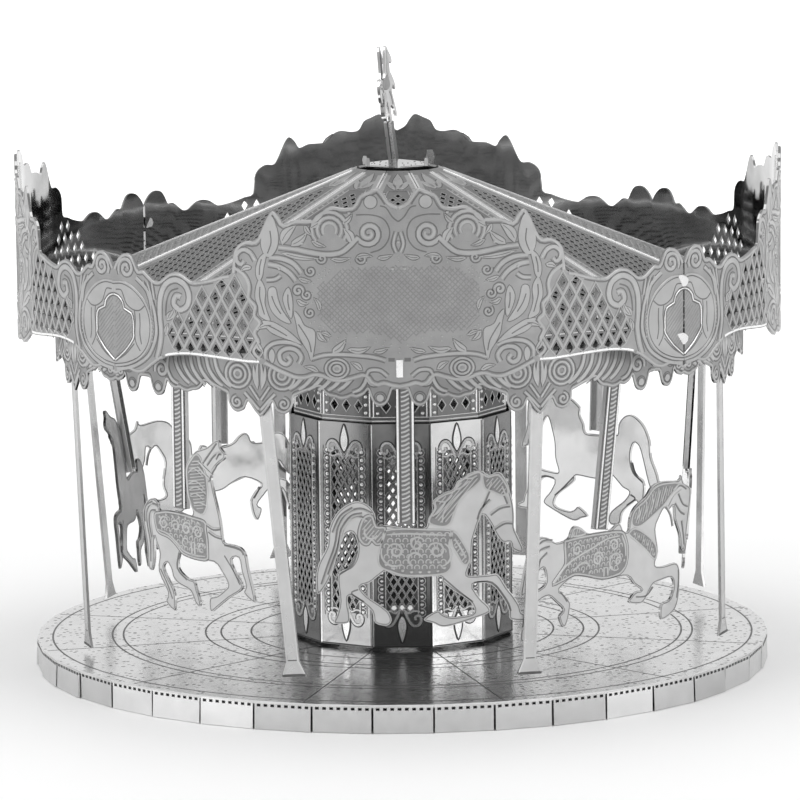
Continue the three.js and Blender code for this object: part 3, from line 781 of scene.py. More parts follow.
def build_frieze():
    """The tier on top of the column, with rows of diamond holes."""
    half = FRIEZE_RADIUS * math.sin(math.pi / SIDES) - 0.02
    low, high = node_span("column_frieze")
    flat = Solid()
    holes = [diamond((x, z), 0.4, 0.55) for z in FRIEZE_ROWS for x in (-1.5, 0, 1.5)]
    sheet(flat, [rectangle(-half, half, low, high), *holes], COLUMN_SHEET, COLUMN_DEPTH)
    lift = COLUMN_FACE
    for z, width in ((27.85, 0.14), (28.25, 0.1), (35.9, 0.12)):
        ridge(flat, [(-half, z), (half, z)], width, lift)
    for side in (-1, 1):
        for z in np.arange(28.7, 35.6, BEAD_PITCH):
            bead(flat, (2.4 * side, z), 0.24, lift, BRIGHT)
        ridge(flat, [(2.85 * side, 28.3), (2.85 * side, 35.8)], 0.1, lift, paint=BRIGHT)
        groove(flat, [(2.05 * side, 28.3), (2.05 * side, 35.8)], 0.1, lift=lift)
    for hole in holes:
        ridge(flat, fit_inside(hole, 1.3), 0.1, lift, closed=True)
    facet = laid(flat, (0, -FRIEZE_RADIUS * math.cos(math.pi / SIDES), 0))
    solid = Solid()
    for index in range(SIDES):
        # Every other facet gets the painted shade steel, the rest the dark etch.
        solid.join(facet, turned(index * SIDE_ANGLE), {FRONT: PAINTED_SHADE if index % 2 else ETCH})
    make_piece("column_frieze_sheet", solid, "base", COLUMN_PAINT, "column_frieze")


build_column()
build_frieze()


# ---------------------------------------------------------------- canopy: fascia

# The edges of half a cartouche and half a shield, from the cartouche's middle to the shield's.
FASCIA_TOP = [
    (0, 54.1), (0.9, 54.6), (1.5, 55.5), (2.1, 56.0), (3.1, 55.6), (3.9, 55.2), (4.5, 54.2), (5.4, 54.0),
    (6.6, 54.15), (7.5, 53.8), (8.3, 52.9), (9.4, 52.75), (10.5, 52.7), (11.6, 52.3), (12.1, 53.0),
    (12.8, 53.6), (13.4, 52.9), (14.1, 51.4), (14.7, 50.5), (15.7, 50.5), (16.6, 50.0), (17.1, 49.1),
    (17.3, 47.2), (18.4, 46.85), (19.5, 46.5), (20.6, 46.25), (21.8, 46.1), (22.4, 46.35), (23.1, 46.75),
    (23.9, 46.9), (24.7, 46.75), (25.4, 46.3), (26.0, 45.9), (26.7, 45.9), (27.3, 46.3), (28.1, 46.85),
    (28.8, 46.8), (29.2, 47.5), (29.7, 48.2), (30.4, 48.45), (31.2, 48.25), (31.9, 47.6), (32.39, 46.8),
]
FASCIA_BOTTOM = [
    (0, 35.75), (0.9, 35.9), (1.6, 36.1), (2.2, 35.95), (2.9, 36.2), (3.5, 36.9), (4.4, 36.7), (5.6, 36.4),
    (6.7, 36.4), (7.8, 36.8), (8.6, 36.9), (9.6, 36.6), (10.6, 36.6), (11.5, 36.9), (12.5, 37.3),
    (13.9, 38.0), (15.5, 38.05), (17.5, 38.2), (20.0, 38.4), (22.5, 38.5), (24.6, 38.3), (25.6, 38.0),
    (26.4, 37.6), (27.3, 37.0), (28.2, 36.4), (29.2, 36.2), (30.3, 36.4), (31.2, 36.3), (31.9, 35.95),
    (32.39, 35.75),
]
CARTOUCHE_TOP, CARTOUCHE_BOTTOM = FASCIA_TOP[:23], FASCIA_BOTTOM[:16]
SHIELD_TOP, SHIELD_BOTTOM = FASCIA_TOP[:23:-1], FASCIA_BOTTOM[:20:-1]

# The hatched panels: the right half of the cartouche's, and of the shield's.
PANEL = [
    (0, 48.3), (3.2, 48.2), (6.2, 48.0), (6.8, 47.2), (7.6, 46.6), (8.3, 46.2), (8.4, 44.4), (8.2, 42.7),
    (7.4, 42.2), (6.7, 41.4), (5.4, 41.2), (3.2, 41.4), (1.3, 40.9), (0, 40.2),
]
CREST = [
    (0, 43.95), (0.6, 43.8), (1.2, 43.25), (1.4, 42.6), (2.4, 42.2), (2.65, 41.5), (2.65, 40.3),
    (2.6, 39.75), (1.5, 38.5), (0, 37.4),
]
LATTICE_ROWS, LATTICE_COLUMNS = 6, 9
LATTICE_ROW_HEIGHT, LATTICE_PITCH = 1.34, 1.5


def lattice_holes():
    """Diamond holes between a cartouche and a shield."""
    top = np.array(FASCIA_TOP)
    centres = []
    for row in range(LATTICE_ROWS):
        z = 39.2 + row * LATTICE_ROW_HEIGHT
        left = np.interp(z, [38.9, 41.0, 42.5, 46.0], [14.6, 15.2, 15.0, 16.9])
        right = np.interp(z, [39, 42, 43.5, 46], [25.1, 25.2, 22.0, 21.6])
        for column in range(LATTICE_COLUMNS):
            x = 14.7 + (column + (0.5 if row % 2 else 0.0)) * LATTICE_PITCH
            if left - 0.1 < x < right and z < np.interp(x, top[:, 0], top[:, 1]) - 0.9:
                centres.append((x, z))
    return centres


# The lobes of the long leaf at a cartouche's side, each an outline and a vein, from the top down.
FROND = (
    ([(13.5, 49.3), (14.15, 48.9), (14.55, 48.0), (14.6, 47.1), (14.3, 46.5), (13.95, 47.0), (13.8, 47.9)],
     [(14.0, 48.7), (14.2, 47.9), (14.25, 47.1)]),
    ([(14.3, 46.6), (14.65, 45.7), (14.7, 44.7), (14.4, 43.9), (14.35, 43.1), (13.9, 42.7), (13.2, 42.5),
      (13.5, 43.3), (13.75, 44.3), (13.65, 45.4), (13.9, 46.2)],
     [(14.2, 45.9), (14.25, 44.9), (14.0, 43.9), (13.75, 43.1)]),
    ([(14.0, 42.4), (13.0, 42.35), (12.1, 41.95), (11.0, 41.25), (9.9, 40.2), (11.0, 40.55), (12.1, 40.9),
      (13.2, 41.4)],
     [(13.4, 42.0), (12.5, 41.6), (11.4, 41.0)]),
    ([(10.65, 43.5), (10.1, 43.0), (9.7, 42.2), (9.3, 41.9), (8.6, 41.6), (8.5, 40.7), (8.65, 39.6),
      (8.9, 38.5), (9.2, 39.4), (9.7, 40.2), (10.2, 41.2), (10.4, 42.3)],
     [(10.2, 42.2), (9.6, 41.3), (9.1, 40.4), (8.9, 39.4)]),
    ([(13.25, 45.7), (12.6, 45.8), (12.35, 44.8), (11.9, 43.6), (11.0, 42.3), (12.0, 42.6), (12.9, 43.4),
      (13.3, 44.5)],
     [(12.95, 45.0), (12.6, 44.1), (12.0, 43.2)]),
    ([(11.2, 45.9), (11.75, 44.9), (11.5, 43.8), (10.95, 42.8), (10.8, 43.8), (10.85, 44.9)],
     [(11.25, 45.2), (11.25, 44.4), (11.1, 43.6)]),
)


def cartouche(relief):
    """The scrollwork on half a cartouche, to the right of its middle."""
    ridge(relief, beside(smooth(CARTOUCHE_TOP, 3), -0.2), 0.24)
    ridge(relief, beside(smooth(CARTOUCHE_BOTTOM, 3), 0.2), 0.24)
    groove(relief, beside(smooth(CARTOUCHE_TOP[1:], 3), -0.5), 0.15)
    groove(relief, beside(smooth(CARTOUCHE_BOTTOM, 3), 0.5), 0.15)
    coil = spiral((2.95, 51.45), 1.25, 1.6, 0, -1)
    band = smooth([(12.2, 49.95), (10.5, 49.8), (9, 49.5), (7.3, 49.3), (5.8, 49.5), (4.75, 50.3)], 4)
    stroke(relief, np.vstack([band, coil[1:]]), 0.42)
    groove(relief, smooth([
        (4.2, 53.3), (2.7, 53.3), (1.5, 52.9), (0.9, 51.9), (1.0, 50.8), (1.7, 49.9), (2.8, 49.5),
    ], 5))
    groove(relief, smooth([(0.0, 52.6), (0.6, 53.1), (1.2, 54.0), (1.8, 54.2)], 4))
    blob(relief, ring((2.75, 54.6), 0.62))
    groove(relief, ring((2.75, 54.6), 0.3), 0.1, True)
    for radius in (0.7, 1.25, 1.8):
        ridge(relief, arc((6.9, 51.8), radius, -40, 215), 0.3, taper=True)
        groove(relief, arc((6.9, 51.8), radius + 0.27, -40, 215), 0.11)
    for outline, vein in FROND:
        blob(relief, smooth(outline, 3, True))
        vein_line(relief, smooth(vein, 4), 0.12)
    strokes(relief, [(0.36, [
        (14.7, 48.5), (15.2, 49.3), (16.0, 49.6), (16.7, 49.1), (16.7, 48.4), (16.2, 48.1), (15.9, 48.5),
    ])])
    blob(relief, smooth([
        (12.9, 53.1), (12.4, 52.0), (12.2, 50.9), (12.4, 49.8), (13.0, 49.0), (13.6, 49.1), (14.0, 50.0),
        (13.95, 51.1), (13.5, 52.2),
    ], 3, True))
    vein_line(relief, smooth([(13.05, 51.6), (12.95, 50.4), (13.35, 49.3)], 4), 0.12)
    leaves(relief, [
        ((11.9, 50.3), (10.3, 52.2), 0.95, -0.1), ((10.9, 50.2), (9.2, 51.5), 0.75, 0.1),
        ((4.6, 50.4), (5.5, 52.0), 0.8, 0.1), ((11.9, 49.45), (7.9, 48.9), 0.45, 0.05),
        ((12.8, 42.0), (14.5, 41.6), 0.55, 0.1), ((6.8, 39.4), (5.4, 40.7), 0.7, 0.1),
        ((5.2, 39.8), (2.9, 40.0), 0.55, 0.15), ((2.6, 39.5), (1.1, 39.9), 0.4, 0.1),
        ((7.9, 52.5), (8.9, 51.9), 0.5, 0.0), ((10.1, 46.9), (8.8, 46.6), 0.4, 0.1),
        ((8.2, 41.5), (7.3, 40.5), 0.5, 0.15),
        ((3.8, 37.6), (4.9, 38.4), 0.5, 0.1), ((8.2, 37.4), (9.7, 37.9), 0.45, 0.1),
        ((9.4, 52.2), (8.7, 51.2), 0.45, 0.1), ((15.1, 47.8), (16.3, 47.4), 0.5, 0.15),
        ((10.3, 44.7), (9.2, 44.3), 0.45, 0.2), ((8.7, 50.7), (7.3, 50.1), 0.4, 0.1),
        ((6.8, 48.9), (4.8, 49.0), 0.4, 0.1), ((4.3, 49.0), (2.6, 49.1), 0.4, -0.1),
        ((2.1, 49.0), (0.6, 49.3), 0.4, 0.1),
        ((14.6, 40.2), (13.9, 39.2), 0.45, 0.1), ((8.0, 43.6), (8.6, 44.9), 0.4, 0.15),
        ((6.9, 41.0), (8.1, 41.4), 0.35, 0.1), ((5.6, 52.4), (4.6, 53.4), 0.45, 0.1),
    ])
    strokes(relief, [
        (0.4, [(13.2, 48.9), (11.8, 48.8), (10.6, 48.3), (9.8, 47.4)]),
        (0.4, [(13.3, 48.2), (12.2, 48.0), (11.1, 47.4), (10.4, 46.6)]),
        (0.3, [(13.5, 46.6), (12.6, 46.7), (12.0, 47.1)]),
    ])
    stroke(relief, spiral((10.2, 45.6), 0.55, 1.3, 200, -1), 0.24)
    strokes(relief, [
        (0.34, [(9.9, 39.9), (10.8, 40.25), (11.9, 40.35), (13.0, 40.1), (13.7, 39.4), (13.7, 38.6)]),
        (0.36, [(10.2, 38.2), (9.95, 38.9), (10.5, 39.6), (11.5, 39.7), (12.2, 39.2), (12.1, 38.4),
                (11.5, 38.1), (11.1, 38.5), (11.4, 38.9)]),
    ])
    bud = [(13.0, 39.6), (12.75, 39.1), (12.8, 38.5), (13.0, 38.2), (13.3, 38.6), (13.3, 39.2)]
    blob(relief, smooth(bud, 3, True))
    rings(relief, (6.3, 37.75), (0.35, 0.75, 1.15), 0.18, 0.2, squash=0.85, line=0.09)
    strokes(relief, [
        (0.3, [(8.9, 38.7), (7.6, 39.1), (5.8, 39.2), (4.0, 39.1), (2.4, 38.9), (1.4, 38.6)]),
        (0.26, [(1.2, 37.0), (2.0, 37.6), (3.0, 37.6), (3.3, 37.1)]),
        (0.24, [(0.2, 51.6), (0.5, 50.4), (0.2, 49.5)]),
    ])
    side = smooth([
        (17.0, 47.7), (15.9, 47.0), (15.4, 45.9), (15.5, 44.7), (14.8, 43.9), (14.9, 42.9), (14.3, 42.2),
        (14.9, 41.2), (14.5, 40.2), (15.0, 39.3), (14.3, 38.5),
    ], 4)
    ridge(relief, side, 0.24)
    groove(relief, beside(side, -0.28), 0.12)
    curls = [((8.9, 47.6), 20), ((9.3, 45.2), 60), ((9.0, 43.4), 60), ((7.7, 48.9), 0), ((3.7, 48.9), 0)]
    for centre, start in curls:
        stroke(relief, spiral(centre, 0.5, 1.2, start, -1), 0.16)
    for centre in ((4.9, 53.5), (12.1, 47.8), (9.7, 50.4), (14.5, 41.6), (0, 50.6), (0.6, 47.9)):
        bead(relief, centre, 0.2)


def cartouche_middle(relief):
    """What lies across the cartouche's middle: the hatched panel and the tab below it."""
    panel = PANEL + [(-x, z) for x, z in PANEL[-2:0:-1]]
    for angle in (45, -45):
        hatched(relief, panel, 0.4, angle)
    for distance in (0.35, 0.8):
        for point in beside(smooth(panel, 4, True), distance, True)[::2]:
            bead(relief, point, 0.1, sides=5)
    pad(relief, rectangle(-0.33, 0.33, 36.9, 38.65), height=0.14, paint=BRIGHT)
    for x in (-0.8, 0.8):
        pad(relief, rectangle(x - 0.3, x + 0.3, 38.5, 38.85), height=0.015, paint=LINE)


def shield(relief):
    """Half a shield, to the right of its middle."""
    rim = [(FASCIA_HALF - x, z) for x, z in SHIELD_TOP]
    foot = [(FASCIA_HALF - x, z) for x, z in SHIELD_BOTTOM]
    ridge(relief, beside(smooth(rim, 3), -0.2), 0.22)
    groove(relief, beside(smooth(rim, 3), -0.45), 0.12)
    ridge(relief, beside(smooth(foot, 3), 0.2), 0.2)
    body = smooth([
        (0, 45.1), (1.3, 45.2), (2.7, 44.7), (4.1, 43.6), (4.85, 42.3), (5.0, 40.7), (4.6, 39.2),
        (3.5, 38.0), (1.8, 37.25), (0, 36.95),
    ], 4)
    crest = beside(smooth(CREST, 2), 0.3)
    pad(relief, [*body, *crest[::-1]], height=0.03)
    groove(relief, body, 0.17)
    on_body = FACE + 0.02
    groove(relief, crest, 0.14, lift=on_body)
    groove(relief, smooth(CREST, 2), 0.14)
    ridge(relief, beside(smooth(CREST, 2), 0.15), 0.08, height=0.06, paint=BRIGHT)
    ridge(relief, beside(body, 0.24), 0.2, height=0.06)
    for line in (
        [(1.5, 43.9), (1.9, 43.2), (2.8, 42.7), (3.7, 42.7), (4.4, 43.2)],
        [(3.0, 42.6), (3.1, 41.6), (3.0, 40.4), (3.1, 39.4), (3.7, 38.5)],
        [(3.7, 42.4), (3.75, 41.3), (3.7, 40.2), (3.9, 39.2)], [(0.3, 44.6), (1.1, 44.6), (1.5, 43.9)],
        [(2.9, 39.2), (1.6, 38.0), (0.1, 37.2)],
    ):
        groove(relief, smooth(line, 4), 0.14, lift=on_body)
    stroke(relief, spiral((1.85, 46.9), 1.15, 1.6, 215, -1), 0.34)
    strokes(relief, [(0.5, [
        (5.9, 37.9), (6.35, 39.3), (6.55, 40.7), (6.4, 42.4), (6.5, 44.2), (7.2, 45.6), (8.5, 46.15),
        (9.7, 45.6), (10.1, 44.5), (9.8, 43.5), (8.9, 43.1), (8.2, 43.7), (8.5, 44.5), (9.1, 44.4),
    ])])
    groove(relief, smooth([(7.15, 42.4), (7.3, 43.8), (7.8, 44.9), (8.8, 45.3)], 4), 0.16)
    stroke(relief, smooth([
        (3.3, 46.0), (4.7, 44.9), (5.5, 43.4), (5.85, 41.9), (5.9, 40.5), (5.5, 39.2), (4.8, 38.1),
        (3.5, 37.2), (1.9, 36.6), (0.3, 36.4),
    ], 4), 0.3, taper=False)
    for k in range(3):
        fan = [(5.3 + 0.22 * k, 42.9 + 0.5 * k), (5.0 + 0.3 * k, 44.2 + 0.2 * k), (4.2 + 0.6 * k, 45.7)]
        strokes(relief, [(0.2, fan)])
    for z in np.arange(39.6, 42.4, 0.42):
        bead(relief, (5.42 - 0.05 * abs(z - 41), z), 0.13)
    leaves(relief, [((7.4, 41.9), (8.0, 42.9), 0.5, 0.1), ((7.2, 40.4), (7.5, 41.6), 0.45, 0.1)])
    stroke(relief, spiral((0.75, 36.15), 0.34, 1.2, 90, -1), 0.16)


def lattice(relief):
    """The raised bars round the holes, and the bright rims above and below."""
    top, bottom = np.array(FASCIA_TOP), np.array(FASCIA_BOTTOM)
    for centre in lattice_holes():
        groove(relief, diamond(centre, 0.54, 0.86), 0.09, True)
        floor_z = np.interp(centre[0], bottom[:, 0], bottom[:, 1]) + 0.3
        roof_z = np.interp(centre[0], top[:, 0], top[:, 1]) - 0.3
        strands = [(x, min(max(z, floor_z), roof_z)) for x, z in diamond(centre, 0.7, 1.2)]
        ridge(relief, strands, 0.14, closed=True)
    lower_rim = [(x, z + 0.22) for x, z in smooth(FASCIA_BOTTOM, 3) if 13.9 < x < 25.6]
    ridge(relief, lower_rim, 0.2, paint=BRIGHT)
    ridge(relief, [(x, z - 0.2) for x, z in smooth(FASCIA_TOP, 3) if 17.4 < x < 22.1], 0.2)
    leaves(relief, [((24.9, 42.0), (24.0, 43.4), 0.5, 0.1)])


def seam_tabs(radius):
    """Two small twisted tabs that hold the strips together at a seam."""
    tabs = Solid()
    flat = Solid()
    outline = smooth([(-0.55, -0.45), (0.45, -0.5), (0.65, 0.2), (0.1, 0.6), (-0.6, 0.3)], 2, True)
    sheet(flat, [outline], 0.16, front=BRIGHT, back=BRIGHT)
    tab = laid(flat)
    for z, turn in ((44.9, -40), (38.9, -28)):
        foot = Matrix.Translation((-0.45, -radius - 0.1, z))
        tabs.join(tab, foot @ turned(turn) @ rotation(20, "X") @ Matrix.Scale(1.2, 4))
    return tabs


def build_fascia():
    """Two half-round strips, each with two cartouches, that meet at the seams of two shields."""
    place = on_cylinder(FASCIA_RADIUS)
    top, bottom = smooth(FASCIA_TOP, 3), smooth(FASCIA_BOTTOM, 3)
    holes = [diamond(centre, 0.43, 0.69) for centre in lattice_holes()]
    half = Solid()
    cartouche(half)
    lattice(half)
    middle = Solid()
    cartouche_middle(middle)
    arms = Solid()
    shield(arms)
    stripes = Solid()
    hatched(stripes, CREST + [(-0.01, 37.4), (-0.01, 43.9)], 0.33, 45)
    stripes_left = Solid()
    hatched(stripes_left, [(-x, z) for x, z in CREST], 0.33, 45)
    for strip, centres in ((1, (-2 * FASCIA_HALF, 0.0)), (2, (2 * FASCIA_HALF, 4 * FASCIA_HALF))):
        solid = Solid()
        upper, lower, cuts = [], [], []
        for centre in centres:
            for side in (-1, 1):
                for edge, line in ((upper, top), (lower, bottom)):
                    edge += [(centre + side * x, z) for x, z in line[::side]]
                cuts += [[(centre + side * x, z) for x, z in hole] for hole in holes]
        first, last = lower[0][0] + SEAM_GAP, lower[-1][0] - SEAM_GAP
        ends = [(min(max(x, first), last), z) for x, z in lower + upper[::-1]]
        outline = [p for p, q in zip(ends, ends[1:] + ends[:1]) if math.dist(p, q) > SAME_POINT]
        flat = Solid()
        sheet(flat, [outline, *cuts], bend=True)
        solid.lay(flat, place)
        for centre in centres:
            solid.lay(middle, place, centre)
            for mirror in (False, True):
                solid.lay(half, place, centre, mirror)
                end = centre + (-FASCIA_HALF if mirror else FASCIA_HALF)
                solid.lay(arms, place, end, not mirror)
                solid.lay(stripes if mirror else stripes_left, place, end)
        if strip == 1:
            for azimuth in (45, -135):
                solid.join(seam_tabs(FASCIA_RADIUS), turned(azimuth))
        node = f"fascia_strip_{strip}"
        make_piece(f"{node}_sheet", solid, "canopy", FASCIA_PAINT, node)


build_fascia()


# ---------------------------------------------------------------- canopy: valance

# The lower edge of half a repeat, and how thick the sheet is.
VALANCE_BOTTOM = [
    (0, 35.1), (0.8, 35.0), (1.1, 34.3), (1.4, 33.6), (2.0, 33.3), (2.6, 33.6), (2.9, 34.3), (3.2, 35.0),
    (3.7, 34.5), (4.4, 34.2), (4.9, 34.3), (5.4, 34.1), (6.0, 34.0), (6.6, 34.2), (7.2, 34.3), (7.7, 34.7),
    (8.1, 35.2), (9.2, 34.9), (10.4, 34.4), (11.0, 34.1), (11.1, 33.3), (11.4, 32.7), (12.0, 32.35),
    (12.7, 32.6), (13.0, 33.2), (13.3, 33.5), (14.0, 32.6), (14.61, 31.95),
]
VALANCE_SHEET = 0.24


def valance(relief):
    """Half a repeat, from a pair of pendants to a post's diamond pendant."""
    lift = VALANCE_SHEET / 2
    ridge(relief, [(x, z + 0.22) for x, z in smooth(VALANCE_BOTTOM, 3)], 0.16, lift)
    groove(relief, [(x, z + 0.46) for x, z in smooth(VALANCE_BOTTOM, 3)], 0.1, lift=lift)
    blob(relief, ring((2.0, 34.2), 0.36), lift)
    groove(relief, ring((2.0, 34.2), 0.62), 0.12, True, lift)
    stroke(relief, spiral((2.5, 36.1), 1.0, 1.4, 200, -1), 0.3, lift)
    for k in range(6):
        x = 4.3 + k * 1.02
        strokes(relief, [(0.36, [(x, 38.0), (x + 0.35, 36.6), (x + 1.2, 35.5), (x + 2.0, 34.95)])], lift)
    strokes(relief, [(0.3, [(3.4, 37.8), (3.3, 36.4), (3.9, 35.2), (4.8, 34.75)])], lift)
    rings(relief, (12.15, 36.3), (0.4, 0.9, 1.4), 0.2, 0.24, lift)
    stroke(relief, spiral((12.0, 33.4), 0.62, 1.3, 90, 1), 0.22, lift)
    stroke(relief, [(12.9, 34.4), (13.7, 33.6), (14.5, 32.7)], 0.24, lift, taper=False)
    stroke(relief, [(13.5, 35.1), (14.0, 34.4), (14.5, 33.7)], 0.2, lift, taper=False)
    for tip, width in (((14.52, 38.0), 0.3), ((13.95, 37.4), 0.4)):
        outline, _ = leaf((14.45, 34.8), tip, width, 0.05)
        blob(relief, outline, lift)


def build_valance():
    """Two half-round strips, each four repeats long, that end in the middle of a repeat."""
    place = on_cylinder(VALANCE_RADIUS)
    bottom = smooth(VALANCE_BOTTOM, 3)
    high = node_span("valance_strip_1")[1]
    half = Solid()
    valance(half)
    for strip, first_station in ((1, -3), (2, 1)):
        solid = Solid()
        middles = [station * 2 * VALANCE_HALF for station in range(first_station, first_station + 5)]
        first, last = middles[0] + SEAM_GAP, middles[-1] - SEAM_GAP
        lower = []
        for middle in middles:
            for side in (-1, 1):
                lower += [(middle + side * x, z) for x, z in bottom[::side]]
        lower = [p for p in lower if first <= p[0] <= last]
        edge = [q for p, q in zip(lower, lower[1:]) if math.dist(p, q) > SAME_POINT]
        outline = [(first, lower[0][1]), *edge, (last, lower[-1][1]), (last, high), (first, high)]
        flat = Solid()
        sheet(flat, [outline], VALANCE_SHEET, bend=True)
        solid.lay(flat, place)
        for position, middle in enumerate(middles):
            for mirror in (False, True):
                if (position, mirror) not in ((0, True), (4, False)):
                    solid.lay(half, place, middle, mirror)
        node = f"valance_strip_{strip}"
        make_piece(f"{node}_sheet", solid, "canopy", VALANCE_PAINT, node)


build_valance()


# ---------------------------------------------------------------- canopy: roof and cap

EAVE_RADIUS, EAVE_HEIGHT, APEX_RADIUS, APEX_HEIGHT = 40.0, 40.0, 4.6, 54.0
ROOF_COLUMNS, ROOF_ROW, ROOF_PITCH = 9, 0.86, 1.12

# Where the roof's relief starts: at its sheets' front faces.
ROOF_FACE = -0.05
ROOF_SHEET, ROOF_DEPTH = 0.24, -0.16
ROOF_LATTICE_SHEET, ROOF_LATTICE_DEPTH = 0.22, -0.17


def roof_facet():
    """One sloping facet: pierced lattice in a beaded frame, with plain margins along the ridges."""
    across, inward = math.sin(math.pi / SIDES), math.cos(math.pi / SIDES)
    rise = np.array([0, (EAVE_RADIUS - APEX_RADIUS) * inward, APEX_HEIGHT - EAVE_HEIGHT])
    length = np.linalg.norm(rise)

    def half(v):
        return (EAVE_RADIUS + (APEX_RADIUS - EAVE_RADIUS) * v / length) * across

    def border(inset, low, high):
        wide, narrow = half(low) - inset, half(high) - inset
        return [(-wide, low), (wide, low), (narrow, high), (-narrow, high)]

    zone_low, zone_high = 1.2, length - 4.6
    zone = border(1.15, zone_low, zone_high)
    holes = []
    for row, v in enumerate(np.arange(2.0, length - 5.2, ROOF_ROW)):
        room = half(v) - 1.75
        for k in range(-ROOF_COLUMNS, ROOF_COLUMNS + 1):
            x = (k + (0.5 if row % 2 else 0.0)) * ROOF_PITCH
            if abs(x) < room:
                holes.append(diamond((x, v), 0.27, 0.34))
    flat = Solid()
    sheet(flat, [border(0.03, 0, length), zone], ROOF_SHEET, ROOF_DEPTH)
    sheet(flat, [zone, *holes], ROOF_LATTICE_SHEET, ROOF_LATTICE_DEPTH, front=ETCH)
    lift = ROOF_FACE
    for hole in holes:
        ridge(flat, fit_inside(hole, 1.35), 0.07, lift, 0.03, closed=True)
    for side in (-1, 1):
        margin = [(side * (half(v) - 0.45), v) for v in np.linspace(0.3, length - 1.0, 6)]
        ridge(flat, margin, 0.6, lift, 0.02)
        fold = [(side * (half(v) - 0.16), v) for v in np.linspace(0.3, length - 0.6, 6)]
        ridge(flat, fold, 0.16, lift, paint=BRIGHT)
        for v in np.arange(1.4, length - 4.4, 0.8):
            bead(flat, (side * (half(v) - 1.02), v), 0.15, lift, sides=6)
        edge = [(side * (half(v) - 1.28), v) for v in np.linspace(zone_low, zone_high, 6)]
        ridge(flat, edge, 0.1, lift, 0.04)
    ridge(flat, [(-half(0.5) + 0.6, 0.55), (half(0.5) - 0.6, 0.55)], 0.2, lift, 0.03, BRIGHT)
    root = length - 4.3
    for foot, tip, width in (
        ((0, root), (0, length - 0.7), 1.1),
        ((-0.2, root), (-1.25, root + 2.1), 0.7),
        ((0.2, root), (1.25, root + 2.1), 0.7),
    ):
        blob(flat, leaf(foot, tip, width)[0], lift)
    return laid(flat, (0, -EAVE_RADIUS * inward, EAVE_HEIGHT), (1, 0, 0), rise / length)


def build_roof():
    """Two halves of six facets each."""
    facet = roof_facet()
    for half, first in ((1, -120), (2, 60)):
        solid = Solid()
        for index in range(6):
            solid.join(facet, turned(first + index * SIDE_ANGLE))
        node = f"roof_half_{half}"
        make_piece(f"{node}_sheet", solid, "canopy", ROOF_PAINT, node)


CAP_RADIUS, CAP_RIM, CAP_TOP, CAP_FACE = 4.0, 53.95, 54.8, 0.05


def build_cap():
    """A shallow six-sided cap with small tabs folded up near its edge."""
    solid = Solid()
    half = CAP_RADIUS * 0.5
    reach = CAP_RADIUS * math.cos(math.pi / 6)
    rise = np.array([0, reach - 0.15, CAP_TOP - CAP_RIM - 0.3])
    slope = np.linalg.norm(rise)
    flat = Solid()
    sheet(flat, [[(-half, 0), (half, 0), (half * 0.05, slope), (-half * 0.05, slope)]], 0.2, -0.05)
    groove(flat, [(-half + 0.5, 0.3), (half - 0.5, 0.3)], 0.1, lift=CAP_FACE)
    for x, v in ((-0.7, 0.9), (0.1, 0.7), (0.8, 1.0), (0.2, 1.6), (-0.4, 1.7)):
        bead(flat, (x, v), 0.1, 0.04, LINE, 5)
    facet = laid(flat, (0, -reach, CAP_RIM + 0.25), (1, 0, 0), rise / slope)
    for index in range(6):
        solid.join(facet, turned(30 + index * 60), {FRONT: BRIGHT})
    tab_flat = Solid()
    outline = [(-0.3, 0), (0.3, 0), (0.42, 0.7), (0.25, 1.3), (-0.25, 1.3), (-0.42, 0.7)]
    sheet(tab_flat, [outline], 0.16, front=LIGHT)
    tab = laid(tab_flat)
    for azimuth, turn, size in ((84, -78, 1.15), (60, -30, 0.6), (-84, 62, 0.7), (-64, 30, 0.6)):
        corner = Matrix.Translation((0, -CAP_RADIUS + 0.45, CAP_RIM + 0.35))
        solid.join(tab, turned(azimuth) @ corner @ turned(turn) @ Matrix.Scale(size, 4))
    make_piece("roof_cap_sheet", solid, "canopy", ROOF_PAINT, "roof_cap")


build_roof()
build_cap()


# ---------------------------------------------------------------- canopy: posts and poles

# Azimuth, then degrees aside and inwards at the foot, then how much lower than the rest the foot reaches.
POSTS = [
    (22.5, -2.1, 0, 0), (67.5, 0, -0.6, 0), (112.5, 0, 0.8, 0), (157.5, 0, 0, 0),
    (-157.5, 0, 0, 0), (-107.5, 0, 4.6, 0), (-71.5, 0, 2, 1.2), (-22.5, 5.9, 0, 0),
]
POST_TOP, POST_LENGTH, POLE_TOP = 35.9, 31.0, 38.6
POST_SHEET, POST_HALF, FOOT_HALF, FOOT_HEIGHT = 0.28, 0.7, 1.4, 1.6
POLE_SHEET, POLE_HALF, POLE_DEPTH, POLE_TWIST = 0.22, 0.95, 0.7, 0.46


def hung(azimuth, radius, along, height):
    """The frame of something that hangs from the canopy at an azimuth."""
    return turned(azimuth) @ Matrix.Translation((along, -radius, height))


def post_strip(length):
    """A thin strip that hangs from its top and flares to a foot."""
    knee, lift = FOOT_HEIGHT - length, POST_SHEET / 2
    outline = [
        (-POST_HALF, 0), (-POST_HALF, knee), (-FOOT_HALF, -length),
        (FOOT_HALF, -length), (POST_HALF, knee), (POST_HALF, 0),
    ]
    flat = Solid()
    sheet(flat, [outline], POST_SHEET)
    for side in (-1, 1):
        edge = [(0.58 * side, z) for z in (-0.2, -10, -20, knee + 0.05)] + [(1.2 * side, 0.15 - length)]
        ridge(flat, edge, 0.12, lift, 0.04)
    # A dark line across the foot's bottom: painted shade where the foot meets the deck.
    ridge(flat, [(-1.3, 0.14 - length), (1.3, 0.14 - length)], 0.2, lift, paint=LINE)
    groove(flat, [(-0.65, knee + 0.1), (0.65, knee + 0.1)], 0.1, lift=lift)
    return laid(flat)


